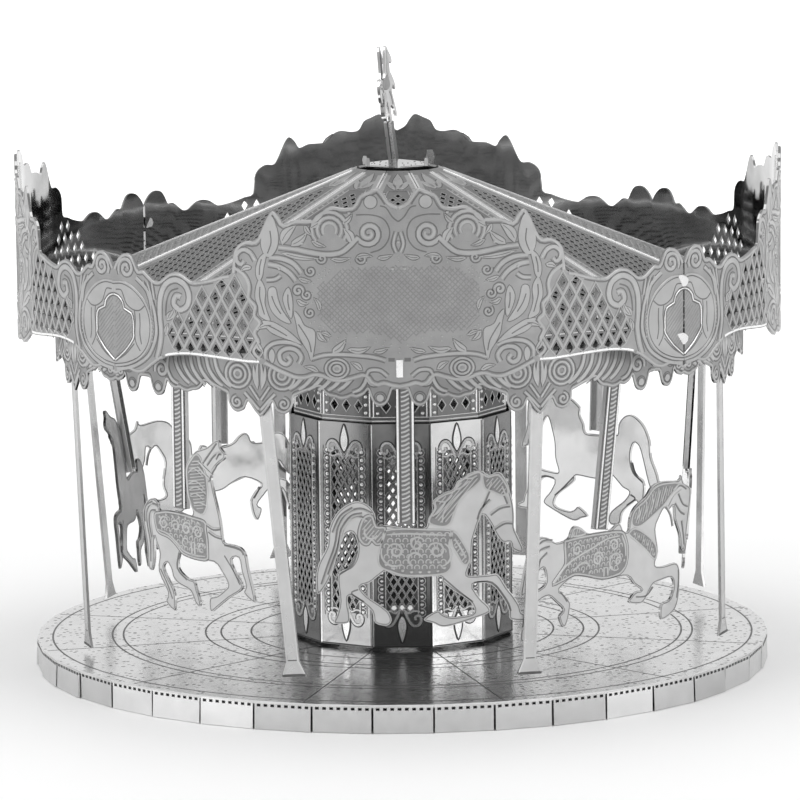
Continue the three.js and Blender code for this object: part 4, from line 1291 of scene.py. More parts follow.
def build_posts():
    """Eight thin posts that hang from the canopy, some of them a little askew."""
    for index, (azimuth, aside, inward, drop) in enumerate(POSTS):
        lean = rotation(inward, "X") @ rotation(-aside, "Y")
        solid = Solid()
        solid.join(post_strip(POST_LENGTH + drop), hung(azimuth, POST_RADIUS, 0, POST_TOP) @ lean)
        node = f"post_{index + 1}"
        make_piece(f"{node}_strip", solid, "canopy", STRIP_PAINT, node)


build_posts()


def pole(length):
    """A strip folded to a channel, with a twisted pattern between its plain edges."""
    lift = POLE_SHEET / 2
    flat = Solid()
    sheet(flat, [rectangle(-POLE_HALF, POLE_HALF, 0, length)], POLE_SHEET, front=ETCH)
    heights = (0.1, length / 2, length - 0.1)
    for side in (-1, 1):
        ridge(flat, [(side * 0.78, z) for z in heights], 0.2, lift, 0.03, BRIGHT)
        groove(flat, [(side * 0.52, z) for z in heights], 0.1, lift=lift)
    for z in np.arange(0.3, length - 0.6, POLE_TWIST):
        ridge(flat, smooth([(-0.42, z), (0.0, z + 0.1), (0.42, z + 0.34)], 2), 0.15, lift, 0.04)
    solid = laid(flat, (0, lift, 0))
    for side in (-1, 1):
        flange = Solid()
        sheet(flange, [rectangle(-POLE_DEPTH / 2, POLE_DEPTH / 2, 0, length)], 0.2)
        solid.lay(flange, on_plane((side * (POLE_HALF - 0.1), POLE_DEPTH / 2, 0), (0, side, 0)))
    return solid


# ---------------------------------------------------------------- canopy: horses

# The three outlines: how far along from the horse's azimuth, and how high above the table.
GALLOPING = [
    (-2.5, 20.3), (-1.4, 20.3), (0.3, 20.0), (1.8, 19.9), (2.6, 20.1), (2.8, 21.0), (3.4, 22.0),
    (3.3, 22.8), (4.4, 23.6), (5.4, 24.0), (5.8, 24.8), (6.5, 25.1), (7.0, 25.6), (8.2, 25.9),
    (9.0, 25.4), (10.1, 25.7), (10.9, 24.6), (11.2, 23.6), (11.5, 22.3), (11.6, 21.0), (11.6, 19.9),
    (12.0, 18.9), (12.5, 17.7), (12.3, 17.3), (11.4, 17.7), (11.2, 18.4), (10.4, 18.4), (9.7, 19.3),
    (9.1, 20.5), (8.3, 21.3), (7.6, 19.5), (7.3, 18.3), (7.2, 16.6), (6.7, 15.2), (7.1, 14.9),
    (9.0, 15.0), (9.9, 15.0), (10.8, 13.6), (11.5, 12.7), (12.1, 11.7), (12.3, 11.0), (13.0, 10.7),
    (13.0, 10.2), (11.2, 10.3), (11.0, 11.2), (10.6, 12.2), (9.2, 14.0), (7.3, 14.0), (8.0, 12.6),
    (8.8, 11.8), (9.0, 11.1), (7.6, 10.5), (5.4, 9.8), (4.1, 9.6), (3.2, 10.0), (2.2, 10.4),
    (3.6, 11.3), (4.2, 10.9), (5.2, 10.6), (7.2, 10.9), (7.4, 11.6), (6.8, 12.4), (5.3, 13.4),
    (4.2, 14.3), (3.9, 14.9), (1.0, 14.8), (-0.8, 15.1), (-1.6, 15.5), (-2.4, 15.0), (-3.3, 14.3),
    (-4.3, 13.9), (-3.6, 12.9), (-2.2, 11.9), (-1.4, 11.2), (-1.1, 10.3), (-1.6, 9.8), (-2.8, 10.1),
    (-3.1, 11.3), (-4.2, 12.3), (-5.4, 13.0), (-5.6, 12.2), (-5.4, 10.9), (-5.6, 10.1), (-7.0, 10.1),
    (-6.7, 11.0), (-6.4, 12.4), (-6.6, 14.6), (-6.3, 15.5), (-5.2, 16.0), (-4.6, 17.0), (-4.5, 18.4),
    (-5.0, 19.6), (-5.8, 19.3), (-6.4, 17.8), (-7.2, 15.3), (-8.0, 13.8), (-8.7, 13.2), (-8.8, 15.0),
    (-8.5, 16.4), (-7.6, 18.2), (-7.4, 20.0), (-6.6, 21.6), (-5.5, 22.5), (-4.4, 22.8), (-3.4, 22.4),
    (-2.7, 21.5),
]
REARING = [
    (-3.2, 20.0), (-1.6, 20.3), (0.0, 20.2), (1.4, 20.0), (1.9, 20.4), (1.5, 21.3), (1.1, 22.2),
    (0.9, 23.6), (0.9, 25.1), (1.4, 25.9), (2.4, 26.9), (3.2, 27.2), (4.3, 27.6), (5.5, 28.4),
    (6.1, 28.3), (6.2, 27.7), (6.8, 27.2), (6.8, 26.6), (6.0, 26.1), (5.2, 25.4), (4.8, 24.6),
    (5.0, 23.3), (5.9, 20.6), (6.2, 19.2), (6.5, 17.8), (7.8, 17.7), (9.1, 17.5), (9.8, 16.8),
    (10.2, 15.2), (11.0, 12.8), (11.0, 12.0), (9.5, 12.8), (9.8, 13.6), (9.2, 15.0), (8.8, 16.4),
    (7.6, 16.1), (8.3, 14.7), (9.1, 13.9), (9.1, 13.1), (7.2, 12.0), (5.6, 10.9), (4.4, 10.2),
    (4.3, 11.6), (5.4, 12.0), (6.6, 12.8), (7.1, 13.4), (6.2, 14.6), (5.0, 15.5), (2.2, 15.4),
    (1.0, 15.6), (-0.1, 16.2), (-0.5, 14.3), (0.9, 13.3), (1.9, 13.1), (2.3, 12.2), (2.8, 11.0),
    (2.6, 10.5), (2.0, 10.9), (1.3, 12.0), (-0.4, 12.5), (-1.3, 13.1), (-1.6, 13.9), (-2.2, 14.6),
    (-2.8, 14.1), (-2.4, 13.2), (-1.3, 11.8), (-1.1, 10.6), (-1.3, 9.6), (-2.5, 10.4), (-2.2, 11.4),
    (-3.6, 13.5), (-3.4, 15.4), (-3.9, 16.6), (-4.2, 17.2), (-4.2, 15.0), (-4.6, 13.5), (-5.2, 13.9),
    (-5.3, 15.8), (-5.8, 18.3), (-5.9, 19.4), (-5.5, 20.5), (-4.8, 21.1), (-4.1, 21.2), (-3.5, 20.8),
]
LEAPING = [
    (-9.9, 17.8), (-8.2, 18.0), (-7.7, 18.8), (-7.1, 19.2), (-6.2, 18.9), (-5.4, 18.3), (-4.0, 18.0),
    (-1.9, 18.0), (-0.8, 18.5), (-0.2, 18.5), (0.3, 17.7), (1.1, 17.6), (1.3, 18.9), (2.1, 20.0),
    (3.8, 20.9), (4.6, 21.7), (5.6, 22.1), (6.8, 22.2), (9.0, 22.0), (9.4, 22.5), (9.8, 21.6),
    (10.7, 21.1), (10.9, 20.2), (10.3, 16.6), (9.9, 14.6), (9.4, 14.6), (9.1, 16.2), (8.4, 17.9),
    (8.2, 19.4), (7.4, 19.0), (6.7, 19.3), (5.9, 18.4), (5.3, 17.2), (5.7, 14.8), (5.2, 13.4),
    (6.6, 13.1), (8.4, 13.2), (9.0, 12.6), (9.1, 11.5), (8.9, 9.3), (8.1, 8.0), (6.2, 7.4),
    (6.2, 9.0), (7.4, 9.3), (7.9, 9.9), (8.2, 10.8), (7.8, 11.7), (6.0, 11.6), (4.8, 11.3),
    (3.6, 9.9), (2.7, 9.6), (1.1, 10.0), (2.1, 10.9), (3.2, 11.0), (2.0, 11.8), (0.9, 12.8),
    (-1.4, 12.9), (-3.4, 13.0), (-5.0, 13.6), (-7.0, 14.0), (-9.6, 12.9), (-8.8, 12.2), (-8.0, 11.3),
    (-8.0, 10.6), (-8.4, 9.3), (-9.0, 8.8), (-9.6, 10.0), (-8.9, 10.6), (-10.0, 11.6), (-11.2, 12.4),
    (-12.6, 12.1), (-13.3, 11.4), (-14.1, 9.3), (-14.2, 8.2), (-15.4, 8.3), (-15.3, 9.4),
    (-14.7, 10.0), (-14.4, 11.6), (-13.6, 12.9), (-11.9, 13.5), (-11.5, 14.2), (-11.8, 15.4),
    (-12.6, 15.2), (-13.4, 14.2), (-15.2, 12.9), (-15.1, 14.2), (-14.4, 16.6), (-13.5, 18.1),
    (-12.3, 18.7), (-11.2, 18.5),
]

# What is etched on each horse: darker patches (the blanket is the first, the others have hair at
# an angle), raised scrolls, beads, and strands of mane, tail and harness. The edges are dark lines of
# painted shade along one side of the legs.
HARNESS = {
    "galloping": {
        "outline": GALLOPING,
        "hair": 50,
        "patches": [
            [(-2.2, 17.9), (-2.0, 18.6), (-1.6, 19.7), (0.4, 19.9), (2.4, 19.8), (4.9, 19.7), (5.2, 19.2),
             (4.9, 18.4), (5.0, 17.2), (5.1, 16.0), (4.6, 15.3), (3.4, 15.05), (1.6, 15.0), (0, 15.1),
             (-1.2, 15.5), (-2.1, 15.9), (-2.4, 16.7)],
            [(-4.3, 19.8), (-4.3, 19.0), (-3.9, 18.4), (-3.45, 18.35), (-3.05, 18.8), (-2.6, 18.35),
             (-2.1, 18.45), (-1.8, 19.0), (-1.7, 20.0), (-2.6, 20.1), (-3.0, 21.2), (-3.6, 21.2),
             (-4.0, 20.7)],
            [(5.1, 19.5), (5.7, 19.3), (6.6, 17.9), (7.0, 16.9), (6.8, 16.2), (6.3, 16.2), (5.7, 17.2),
             (5.2, 18.2)],
            [(3.0, 20.4), (2.95, 21.0), (3.55, 22.0), (3.5, 22.7), (4.5, 23.4), (5.5, 23.8), (6.0, 24.7),
             (7.1, 25.4), (8.1, 25.7), (8.2, 24.9), (7.4, 24.1), (6.6, 23.4), (5.9, 22.5), (5.4, 21.4),
             (5.0, 20.4), (4.2, 20.1)],
            [(8.4, 25.4), (9.0, 25.2), (10.0, 25.4), (10.7, 24.5), (11.0, 23.6), (10.4, 23.3), (9.4, 23.7),
             (8.6, 24.1)],
        ],
        "scrolls": [
            spiral((-0.6, 17.6), 0.9, 1.5, 200, -1), spiral((1.6, 18.3), 0.8, 1.4, 20, 1),
            spiral((3.6, 17.6), 0.9, 1.5, 160, -1), arc((-0.7, 17.4), 1.4, 160, 300),
            arc((1.4, 16.7), 0.7, 20, 250), smooth([(-1.5, 19.3), (0.5, 19.4), (2.6, 19.3), (4.6, 19.2)], 4),
            arc((3.8, 17.2), 1.3, -80, 60), smooth([(5.5, 18.8), (6.1, 17.8), (6.6, 16.8)], 4),
            arc((-3.1, 19.6), 0.7, 150, 330),
        ],
        "beads": [(-1.6, 16.2), (-0.8, 15.8), (0.1, 15.55), (1.0, 15.4), (1.9, 15.4), (2.8, 15.4),
                  (3.7, 15.5), (4.4, 15.8), (3.0, 16.4), (3.8, 16.4), (-3.9, 19.0), (-2.9, 19.2),
                  (5.6, 18.0), (6.2, 17.2)],
        "strands": [
            [(-3.0, 21.6), (-4.2, 22.1), (-5.6, 21.6), (-6.5, 20.2), (-6.9, 18.2), (-7.7, 16.0),
             (-8.3, 14.2)],
            [(-3.4, 20.9), (-4.4, 21.3), (-5.4, 20.9), (-6.1, 19.6), (-6.8, 17.4), (-7.6, 15.2)],
            [(-4.0, 21.6), (-5.2, 21.3), (-6.2, 19.9), (-6.6, 18.2)],
            [(-5.0, 22.2), (-6.3, 21.3), (-7.1, 19.6)], [(3.2, 21.0), (4.0, 21.5), (4.8, 22.6)],
            [(3.6, 22.6), (4.6, 22.5), (5.4, 23.2)], [(4.4, 20.5), (4.6, 21.6), (5.4, 22.6), (6.4, 23.6)],
            [(5.6, 23.7), (6.3, 24.0), (7.2, 24.7)], [(6.6, 24.9), (7.3, 24.9), (7.9, 25.2)],
            [(8.4, 22.0), (8.9, 23.2), (9.5, 24.6)], [(9.2, 21.2), (10.2, 21.9), (11.2, 22.1)],
            [(9.6, 19.7), (10.6, 20.3), (11.4, 20.3)], [(9.1, 22.9), (8.2, 21.9), (7.8, 20.8)],
            [(10.2, 24.2), (10.9, 22.4)],
        ],
        "edges": [[(7.4, 14.2), (9.3, 14.2), (10.8, 12.3), (11.2, 11.2)],
                  [(4.3, 14.7), (6.0, 13.2), (7.3, 12.2)], [(-4.5, 13.6), (-5.2, 13.2), (-3.9, 12.3)],
                  [(-6.4, 15.2), (-5.1, 16.1), (-4.6, 17.3)]],
    },
    "rearing": {
        "outline": REARING,
        "hair": 10,
        "patches": [
            [(-4.0, 19.5), (-3.8, 18.3), (-3.4, 17.7), (-2.0, 17.4), (-0.9, 16.8), (0.1, 16.0), (1.0, 15.75),
             (2.4, 15.6), (3.9, 15.7), (4.05, 16.4), (4.0, 17.8), (3.8, 18.8), (3.6, 19.6), (1.5, 19.85),
             (-0.4, 20.0), (-2.0, 20.0), (-3.2, 19.8)],
            [(1.9, 20.8), (1.6, 21.4), (1.25, 22.4), (1.1, 23.8), (1.1, 25.0), (1.7, 25.9), (2.5, 26.6),
             (3.2, 26.3), (3.7, 25.2), (4.1, 24.2), (4.2, 22.6), (4.0, 21.2), (3.4, 20.4), (2.5, 20.5)],
        ],
        "scrolls": [
            spiral((-2.6, 18.8), 0.75, 1.5, 20, 1), spiral((-0.8, 18.7), 0.7, 1.4, 200, -1),
            spiral((0.9, 18.6), 0.75, 1.5, 0, 1), spiral((2.6, 18.4), 0.75, 1.5, 180, -1),
            smooth([(-3.6, 18.0), (-2.0, 17.7), (-0.6, 16.9), (0.4, 16.2), (2.2, 15.9), (3.8, 16.0)], 4),
            smooth([(1.7, 15.8), (1.65, 16.6), (1.6, 17.4)], 4),
            smooth([(2.15, 15.8), (2.1, 16.6), (2.1, 17.4)], 4),
            smooth([(2.8, 25.4), (3.6, 24.8), (4.6, 24.2)], 4),
            smooth([(3.0, 25.9), (3.9, 25.3), (5.0, 24.7)], 4), arc((3.2, 16.8), 0.45, 0, 300),
            arc((0.7, 17.1), 0.45, 0, 300),
        ],
        "beads": [(-3.2, 19.4), (-2.2, 19.7), (-1.2, 19.7), (-0.2, 19.7), (0.8, 19.65), (1.8, 19.55),
                  (2.8, 19.4), (-1.6, 18.1), (0.1, 17.8), (1.8, 17.9), (3.4, 17.6)],
        "strands": [
            [(-3.6, 20.6), (-4.6, 20.6), (-5.3, 19.6), (-5.2, 18.2), (-4.8, 16.4), (-4.8, 14.4)],
            [(-3.9, 20.0), (-4.7, 19.8), (-4.9, 18.6), (-4.6, 17.0)],
            [(-4.4, 20.9), (-5.5, 20.2), (-5.6, 18.6)], [(1.6, 22.0), (2.4, 22.3), (3.4, 21.8)],
            [(1.4, 23.2), (2.4, 23.6), (3.6, 23.0)], [(1.4, 24.4), (2.2, 24.9), (3.4, 24.3)],
            [(2.0, 25.6), (2.8, 25.7), (3.4, 25.2)], [(2.2, 21.2), (3.0, 21.4), (3.9, 21.2)],
            [(1.5, 22.6), (2.6, 23.0), (3.9, 22.4)], [(3.8, 19.3), (5.0, 18.9), (6.1, 19.1)],
            [(4.2, 18.6), (5.2, 18.2), (6.3, 18.1)], [(4.4, 23.9), (5.0, 24.9), (5.6, 25.6)],
            [(3.5, 25.7), (4.7, 27.0), (5.7, 28.1)], [(4.2, 25.6), (5.4, 26.8), (6.4, 27.0)],
            [(5.6, 26.4), (6.2, 27.2)],
        ],
        "edges": [[(6.6, 17.5), (8.9, 17.3), (9.5, 16.8)], [(6.6, 16.4), (8.0, 14.9), (8.9, 13.6)],
                  [(-0.3, 15.9), (-0.7, 14.2), (0.8, 13.1)], [(-3.3, 13.8), (-2.2, 12.2), (-1.5, 10.8)]],
    },
    "leaping": {
        "outline": LEAPING,
        "hair": 70,
        "patches": [
            [(-8.7, 17.6), (-8.6, 16.0), (-8.8, 15.2), (-9.8, 14.3), (-10.6, 13.5), (-8.6, 13.9),
             (-7.2, 14.15), (-5.4, 13.8), (-3.2, 13.2), (-1.4, 13.15), (-0.1, 13.4), (0.7, 14.2),
             (0.9, 15.8), (0.5, 17.1), (0.0, 17.6), (-1.6, 17.8), (-5.5, 17.9), (-8.3, 17.8)],
            [(1.2, 17.4), (2.2, 17.7), (4.2, 16.6), (5.3, 15.5), (5.4, 14.5), (5.0, 14.1), (3.9, 15.1),
             (2.4, 16.3), (1.4, 17.0)],
            [(1.6, 18.3), (1.7, 19.1), (2.3, 19.8), (3.9, 20.6), (4.8, 21.4), (5.7, 21.8), (6.9, 21.9),
             (8.9, 21.7), (8.4, 21.1), (7.5, 20.4), (6.7, 19.7), (5.6, 19.1), (4.6, 18.6), (3.2, 18.0),
             (2.2, 17.9)],
            [(-7.5, 18.7), (-7.0, 19.0), (-6.2, 18.7), (-5.6, 18.2), (-7.3, 18.15)],
        ],
        "scrolls": [
            spiral((-3.7, 15.3), 0.8, 1.6, 0, 1), spiral((-1.2, 16.4), 0.75, 1.4, 200, -1),
            spiral((-6.9, 16.7), 0.7, 1.5, 30, 1), arc((-1.0, 14.6), 0.9, 10, 300),
            spiral((-0.6, 14.6), 0.5, 1.2, 0, 1),
            smooth([(-10.4, 13.6), (-8.6, 15.2), (-6.6, 16.0), (-4.4, 16.6), (-2.4, 17.2), (-0.4, 17.3)], 4),
            smooth([(-7.6, 14.5), (-6.0, 15.2), (-4.9, 14.7)], 4), smooth([(-2.8, 13.3), (-2.8, 14.3)], 2),
            smooth([(-2.2, 13.3), (-2.2, 14.2)], 2), smooth([(7.4, 19.4), (8.3, 20.4), (9.4, 20.9)], 4),
            smooth([(0.6, 15.0), (0.5, 16.2), (0.0, 17.3)], 4),
        ],
        "beads": [(1.9, 17.2), (2.6, 16.8), (3.3, 16.3), (4.0, 15.8), (4.6, 15.2), (5.0, 14.6), (-8.2, 17.2),
                  (-8.2, 16.3), (-6.0, 14.3), (-5.0, 14.1), (-0.4, 15.6), (0.3, 14.6), (-5.4, 17.5),
                  (-4.2, 17.5), (-3.0, 17.5)],
        "strands": [
            [(-10.6, 18.2), (-12.0, 18.3), (-13.2, 17.5), (-14.0, 15.8), (-14.7, 13.8)],
            [(-11.0, 17.6), (-12.4, 17.4), (-13.3, 16.2), (-13.9, 14.6)],
            [(-11.4, 17.0), (-12.4, 16.4), (-12.8, 15.6)], [(2.4, 18.4), (3.0, 19.2), (2.9, 20.0)],
            [(3.4, 18.5), (4.1, 19.5), (4.0, 20.6)], [(4.4, 18.8), (5.1, 20.0), (4.9, 21.2)],
            [(5.4, 19.4), (6.0, 20.6), (6.0, 21.6)], [(6.4, 20.0), (7.0, 21.0), (7.2, 21.6)],
            [(6.9, 19.4), (7.6, 18.4), (7.9, 17.2)], [(8.4, 19.6), (9.2, 18.6), (9.9, 18.2)],
            [(8.9, 20.6), (9.6, 19.4), (10.4, 19.0)], [(9.4, 17.6), (9.7, 16.0), (9.8, 15.0)],
            [(8.2, 20.9), (9.2, 21.4), (10.2, 20.9)],
        ],
        "edges": [[(8.9, 12.4), (8.9, 11.0), (8.6, 9.4)], [(4.9, 11.1), (3.8, 10.3), (2.2, 10.4)],
                  [(-9.4, 12.6), (-8.4, 11.4)], [(-14.0, 12.4), (-14.7, 10.4), (-14.9, 9.0)]],
    },
}

# Where each design's pole meets the saddle: how far along, and how high.
SADDLES = {"galloping": (0.5, 20.4), "leaping": (-3.1, 18.3), "rearing": (-0.2, 20.6)}

# The horses from the front towards the right, all the way round. A horse can be raised, its pole can
# lean to the side, and both can swing inwards. It can also be turned about its pole, and its inner
# side can have another material: the horse at -90 has a darker mirror there, as painted shade.
USUAL = {"rise": 0, "lean": 0, "turn": 0, "inward": 0, "inside": BACK}
HORSES = [
    {"azimuth": 0, "design": "galloping"},
    {"azimuth": 45, "design": "leaping", "lean": -8},
    {"azimuth": 90, "design": "rearing", "inward": 3.5},
    {"azimuth": 135, "design": "galloping", "rise": 0.7, "lean": 2},
    {"azimuth": 180, "design": "galloping", "rise": 0.6},
    {"azimuth": -135, "design": "leaping", "rise": 1.4},
    {"azimuth": -90, "design": "rearing", "turn": -10, "inward": 9, "inside": PAINTED_SHADE},
    {"azimuth": -45, "design": "rearing"},
]
CURL_PITCH = 0.78
ETCHED_FACE = FACE + 0.015


def scales(relief, loop):
    """Rows of small curls that fill a blanket."""
    low, high = loop.min(axis=0), loop.max(axis=0)
    for row, z in enumerate(np.arange(low[1], high[1], CURL_PITCH * 0.72)):
        centres = [(x, z) for x in np.arange(low[0] + (row % 2) * CURL_PITCH / 2, high[0], CURL_PITCH)]
        for centre, keep in zip(centres, inside(np.array(centres), [loop])):
            if keep:
                ridge(relief, arc(centre, 0.26, -30, 210), 0.09, ETCHED_FACE, 0.03)


def horse_sheet(design):
    """A flat horse, etched on the side that faces outwards and mirror-plain on the other."""
    work = HARNESS[design]
    flat = Solid()
    outline = smooth(work["outline"], 3, True)
    sheet(flat, [outline])
    groove(flat, beside(outline, -0.13, True), 0.09, True)
    for patch in work["patches"]:
        loop = smooth(patch, 3, True)
        pad(flat, loop, height=0.02, paint=ETCH, slope=0.02)
        ridge(flat, loop, 0.14, closed=True)
        groove(flat, beside(loop, -0.17, True), 0.09, True)
    for number, patch in enumerate(work["patches"]):
        loop = fit_inside(smooth(patch, 3, True), 0.88)
        if number == 0:
            scales(flat, loop)
        else:
            for line in hatch(loop, 0.33, work["hair"], 0.35):
                ridge(flat, line, 0.08, ETCHED_FACE, 0.03)
    for line in work["scrolls"]:
        ridge(flat, line, 0.17, FACE + 0.02, taper=True)
    for centre in work["beads"]:
        bead(flat, centre, 0.2, FACE + 0.02, sides=6)
    for line in work["strands"]:
        groove(flat, smooth(line, 4), 0.15, lift=ETCHED_FACE)
        ridge(flat, beside(smooth(line, 4), 0.19), 0.12, ETCHED_FACE, 0.04, taper=True)
    # Painted shade: dark lines along one side of the legs.
    for line in work["edges"]:
        groove(flat, smooth(line, 4), 0.16)
    return flat


def horse_lining(design):
    """The few lines that show on the mirror side: the outline, and the painted shade along the legs."""
    flat = Solid()
    work = HARNESS[design]
    groove(flat, beside(smooth(work["outline"], 3, True), -0.12, True), 0.1, True)
    # The legs' painted shade shows on this side too.
    for line in work["edges"]:
        groove(flat, smooth(line, 4), 0.2)
    return flat


def build_horses():
    """Eight horses, each with the pole that it hangs on."""
    designs = {design: (horse_sheet(design), horse_lining(design)) for design in HARNESS}
    for number, row in enumerate(HORSES, 1):
        horse = {**USUAL, **row}
        along, foot = SADDLES[horse["design"]]
        foot += horse["rise"]
        swing = rotation(horse["inward"], "X") @ turned(horse["turn"])
        stand = hung(horse["azimuth"], HORSE_RADIUS, along, POLE_TOP) @ swing
        pole_length = (POLE_TOP - foot) / math.cos(math.radians(horse["lean"])) - 0.2
        pole_foot = Matrix.Translation((0, -0.15, foot - POLE_TOP))
        placed = Solid()
        placed.join(pole(pole_length), stand @ pole_foot @ rotation(-horse["lean"], "Y"))
        make_piece(f"pole_{number}_strip", placed, "canopy", STRIP_PAINT, f"pole_{number}")
        face, lining = designs[horse["design"]]
        upright, placed = Solid(), Solid()
        upright.lay(face, on_plane(), -along)
        upright.lay(lining, on_plane((-along, 0, 0), (-1, 0, 0)), 0, True)
        placed.join(upright, stand @ Matrix.Translation((0, 0, horse["rise"] - POLE_TOP)))
        paint = {**HORSE_PAINT, BACK: HORSE_PAINT[horse["inside"]]}
        make_piece(f"horse_{number}_sheet", placed, "canopy", paint, f"horse_{number}")


build_horses()


# ---------------------------------------------------------------- canopy: finial

FINIAL_FIGURE = [
    (-0.4, 0), (0.4, 0), (0.5, 1.6), (1.8, 1.2), (2.4, 0.2), (2.9, 0.5), (2.4, 1.9), (1.9, 3.0),
    (2.6, 3.8), (3.4, 3.2), (3.7, 3.7), (2.7, 4.9), (2.1, 5.4), (2.3, 6.4), (3.2, 6.2), (3.4, 6.8),
    (2.4, 7.7), (1.7, 8.3), (1.0, 8.0), (0.4, 6.6), (-0.4, 5.0), (-1.6, 4.7), (-2.4, 4.9),
    (-3.3, 4.1), (-3.4, 2.6), (-2.8, 2.4), (-2.5, 3.4), (-2.1, 2.6), (-2.7, 1.2), (-2.0, 0.4),
    (-1.5, 1.6), (-0.6, 2.2),
]
FINIAL_FOOT, FINIAL_TOP, FINIAL_ASIDE, FINIAL_LEAN = 55.1, 58.9, -0.5, -6.5
FIGURE_SCALE = 7.95 / 8.3


def build_finial():
    """A folded strip with a small prancing figure on top, leaning as it was pushed in by hand."""
    lean = Matrix.Translation((FINIAL_ASIDE, 0, FINIAL_FOOT)) @ rotation(FINIAL_LEAN, "Y")
    length = FINIAL_TOP - FINIAL_FOOT
    flat = Solid()
    sheet(flat, [rectangle(-0.55, 0.55, -0.4, length)], 0.2)
    ridge(flat, [(0.1, -0.3), (0.1, length - 0.1)], 0.24, 0.1, 0.04, BRIGHT)
    groove(flat, [(-0.15, -0.3), (-0.15, length - 0.1)], 0.12, lift=0.1)
    stem = laid(flat, (0, 0.1, 0))
    stem.lay(flat, on_plane((0, 0.6, 0)))
    solid = Solid()
    solid.join(stem, lean)
    make_piece("finial_pole_strip", solid, "canopy", STRIP_PAINT, "finial_pole")
    figure = Solid()
    outline = smooth([(x * FIGURE_SCALE, z * FIGURE_SCALE) for x, z in FINIAL_FIGURE], 3, True)
    sheet(figure, [outline])
    saddle = [(-1.6, 3.6), (0.2, 3.4), (1.2, 3.8), (0.6, 4.9), (-0.6, 4.5), (-1.6, 4.4)]
    pad(figure, smooth(saddle, 3, True), height=0.04, paint=ETCH)
    strokes(figure, [
        (0.2, [(0.6, 5.0), (1.2, 6.2), (1.9, 7.4)]), (0.2, [(1.0, 4.6), (1.6, 5.6), (2.0, 6.8)]),
        (0.2, [(-2.9, 3.9), (-2.2, 3.9), (-1.7, 3.3)]), (0.2, [(1.7, 1.6), (1.3, 2.6), (0.8, 3.2)]),
        (0.2, [(-2.2, 1.0), (-1.7, 2.2), (-1.0, 3.0)]),
    ])
    upright, solid = laid(figure), Solid()
    for turn, aside, swap in ((76, 0.2, {}), (84, -0.3, {FRONT: ETCH})):
        solid.join(upright, lean @ Matrix.Translation((aside, 0, length + 0.1)) @ turned(turn), swap)
    make_piece("finial_figure_sheet", solid, "canopy", HORSE_PAINT, "finial_figure")


build_finial()


# ---------------------------------------------------------------- hidden pieces, kept in shape

KEPT_NODES = {
    "column_shelf": COLUMN_PAINT[FRONT],
    "column_top_plate": COLUMN_PAINT[FRONT],
    "pivot_pin": STRIP_PAINT[FRONT],
    "hub_bush": STRIP_PAINT[FRONT],
    "ceiling_plate": CEILING,
}
for node, material in KEPT_NODES.items():
    for material_slot in bpy.data.objects[node].material_slots:
        material_slot.material = material


# ---------------------------------------------------------------- floor and light

FLOOR_HALF, FLOOR_GREY = 6.0, 0.95

# The room's greys from the front to the back, as shares of the way between them.
FRONT_GREY, BACK_GREY = 0.25, 0.95
GREYS_BETWEEN = ((0.03, 0.32), (0.12, 0.62), (0.3, 0.9))
ROOM_STRENGTH = 0.78

# Name, place, target, size in metres and power in watts.
LIGHTS = (
    ("top_light", (0.0, -0.15, 1.3), (0, 0, 0.02), (1.3, 1.3), 9),
    ("left_light", (-1.1, -0.75, 0.6), (0, 0, 0.03), (0.5, 0.9), 2.5),
    ("right_light", (1.1, -0.8, 0.5), (0, 0, 0.03), (0.4, 0.9), 2.0),
)


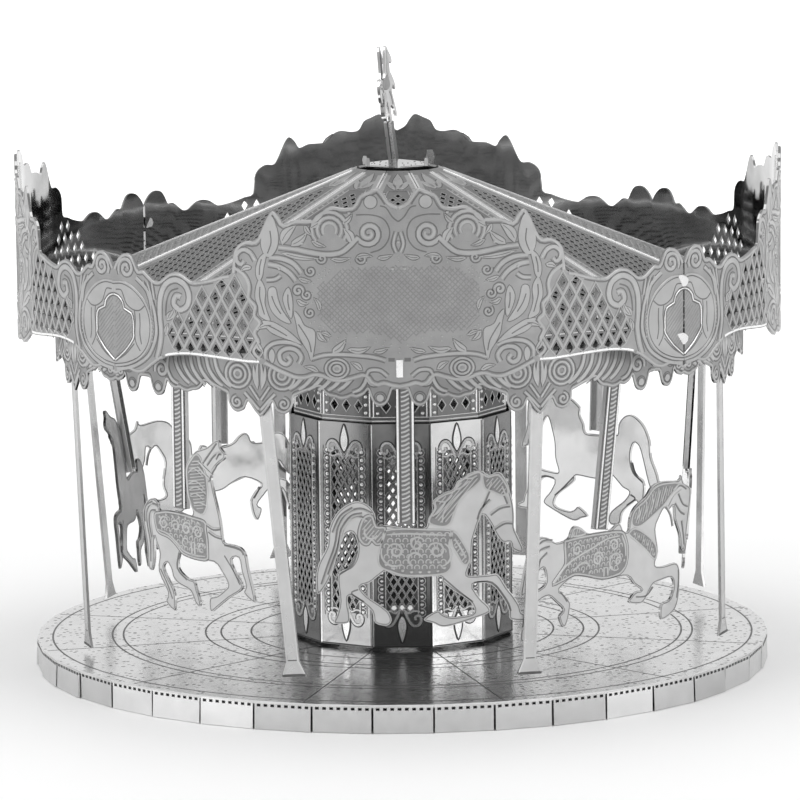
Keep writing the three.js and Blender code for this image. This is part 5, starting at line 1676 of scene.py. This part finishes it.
def make_floor():
    """White paper with a painted glow that grows further out, as if it curved up to the backdrop and caught
    more light.
    """
    mesh = bpy.data.meshes.new("floor")
    corners = rectangle(-FLOOR_HALF, FLOOR_HALF, -FLOOR_HALF, FLOOR_HALF)
    mesh.from_pydata([(x, y, 0) for x, y in corners], [], [(0, 1, 2, 3)])
    floor = bpy.data.objects.new("floor", mesh)
    paper = bpy.data.materials.new("paper")
    paper.use_nodes = True
    tree = paper.node_tree
    nodes, links = tree.nodes, tree.links
    shader = nodes["Principled BSDF"]
    shader.inputs["Base Color"].default_value = (FLOOR_GREY, FLOOR_GREY, FLOOR_GREY, 1)
    grain = nodes.new("ShaderNodeTexNoise")
    grain.inputs["Scale"].default_value = 300
    links.new(map_range(tree, grain.outputs["Fac"], (0, 1), (0.55, 0.7)), shader.inputs["Roughness"])
    place = nodes.new("ShaderNodeNewGeometry")
    reach = nodes.new("ShaderNodeVectorMath")
    reach.operation = "LENGTH"
    links.new(place.outputs["Position"], reach.inputs[0])
    # Painted light: the paper glows more the further out it lies.
    painted_glow = map_range(tree, reach.outputs["Value"], (0.08, 0.5), (0.0, 0.45))
    shader.inputs["Emission Color"].default_value = (1, 1, 1, 1)
    links.new(painted_glow, shader.inputs["Emission Strength"])
    mesh.materials.append(paper)
    bpy.context.collection.objects.link(floor)


def make_light(name, location, target, size, power):
    """A soft box that points at a target."""
    light = bpy.data.lights.new(name, "AREA")
    light.shape = "RECTANGLE"
    light.size, light.size_y = size
    light.energy = power
    lamp = bpy.data.objects.new(name, light)
    lamp.location = location
    lamp.rotation_mode = "QUATERNION"
    lamp.rotation_quaternion = (Vector(target) - Vector(location)).to_track_quat("-Z", "Y")
    bpy.context.collection.objects.link(lamp)


def make_world():
    """A white backdrop, and a room for the steel to reflect that is darker in front."""
    world = bpy.data.worlds.new("studio")
    world.use_nodes = True
    bpy.context.scene.world = world
    tree = world.node_tree
    nodes, links = tree.nodes, tree.links
    room = nodes["Background"]
    room.inputs["Strength"].default_value = ROOM_STRENGTH
    place = nodes.new("ShaderNodeTexCoord")
    split = nodes.new("ShaderNodeSeparateXYZ")
    links.new(place.outputs["Generated"], split.inputs["Vector"])
    tone = nodes.new("ShaderNodeValToRGB")
    links.new(map_range(tree, split.outputs["Y"], (-1, 1), (0, 1)), tone.inputs["Fac"])
    front, back = tone.color_ramp.elements
    front.color = (FRONT_GREY, FRONT_GREY, FRONT_GREY, 1)
    back.color = (BACK_GREY, BACK_GREY, BACK_GREY, 1)
    for position, value in GREYS_BETWEEN:
        tone.color_ramp.elements.new(position).color = (value, value, value, 1)
    links.new(tone.outputs["Color"], room.inputs["Color"])
    backdrop = nodes.new("ShaderNodeBackground")
    backdrop.inputs["Color"].default_value = (1, 1, 1, 1)
    backdrop.inputs["Strength"].default_value = 1.0
    path = nodes.new("ShaderNodeLightPath")
    choose = nodes.new("ShaderNodeMixShader")
    links.new(path.outputs["Is Camera Ray"], choose.inputs["Fac"])
    links.new(room.outputs["Background"], choose.inputs[1])
    links.new(backdrop.outputs["Background"], choose.inputs[2])
    links.new(choose.outputs["Shader"], nodes["World Output"].inputs["Surface"])


make_floor()
make_world()
for light_row in LIGHTS:
    make_light(*light_row)
bpy.context.scene.view_settings.view_transform = "Standard"
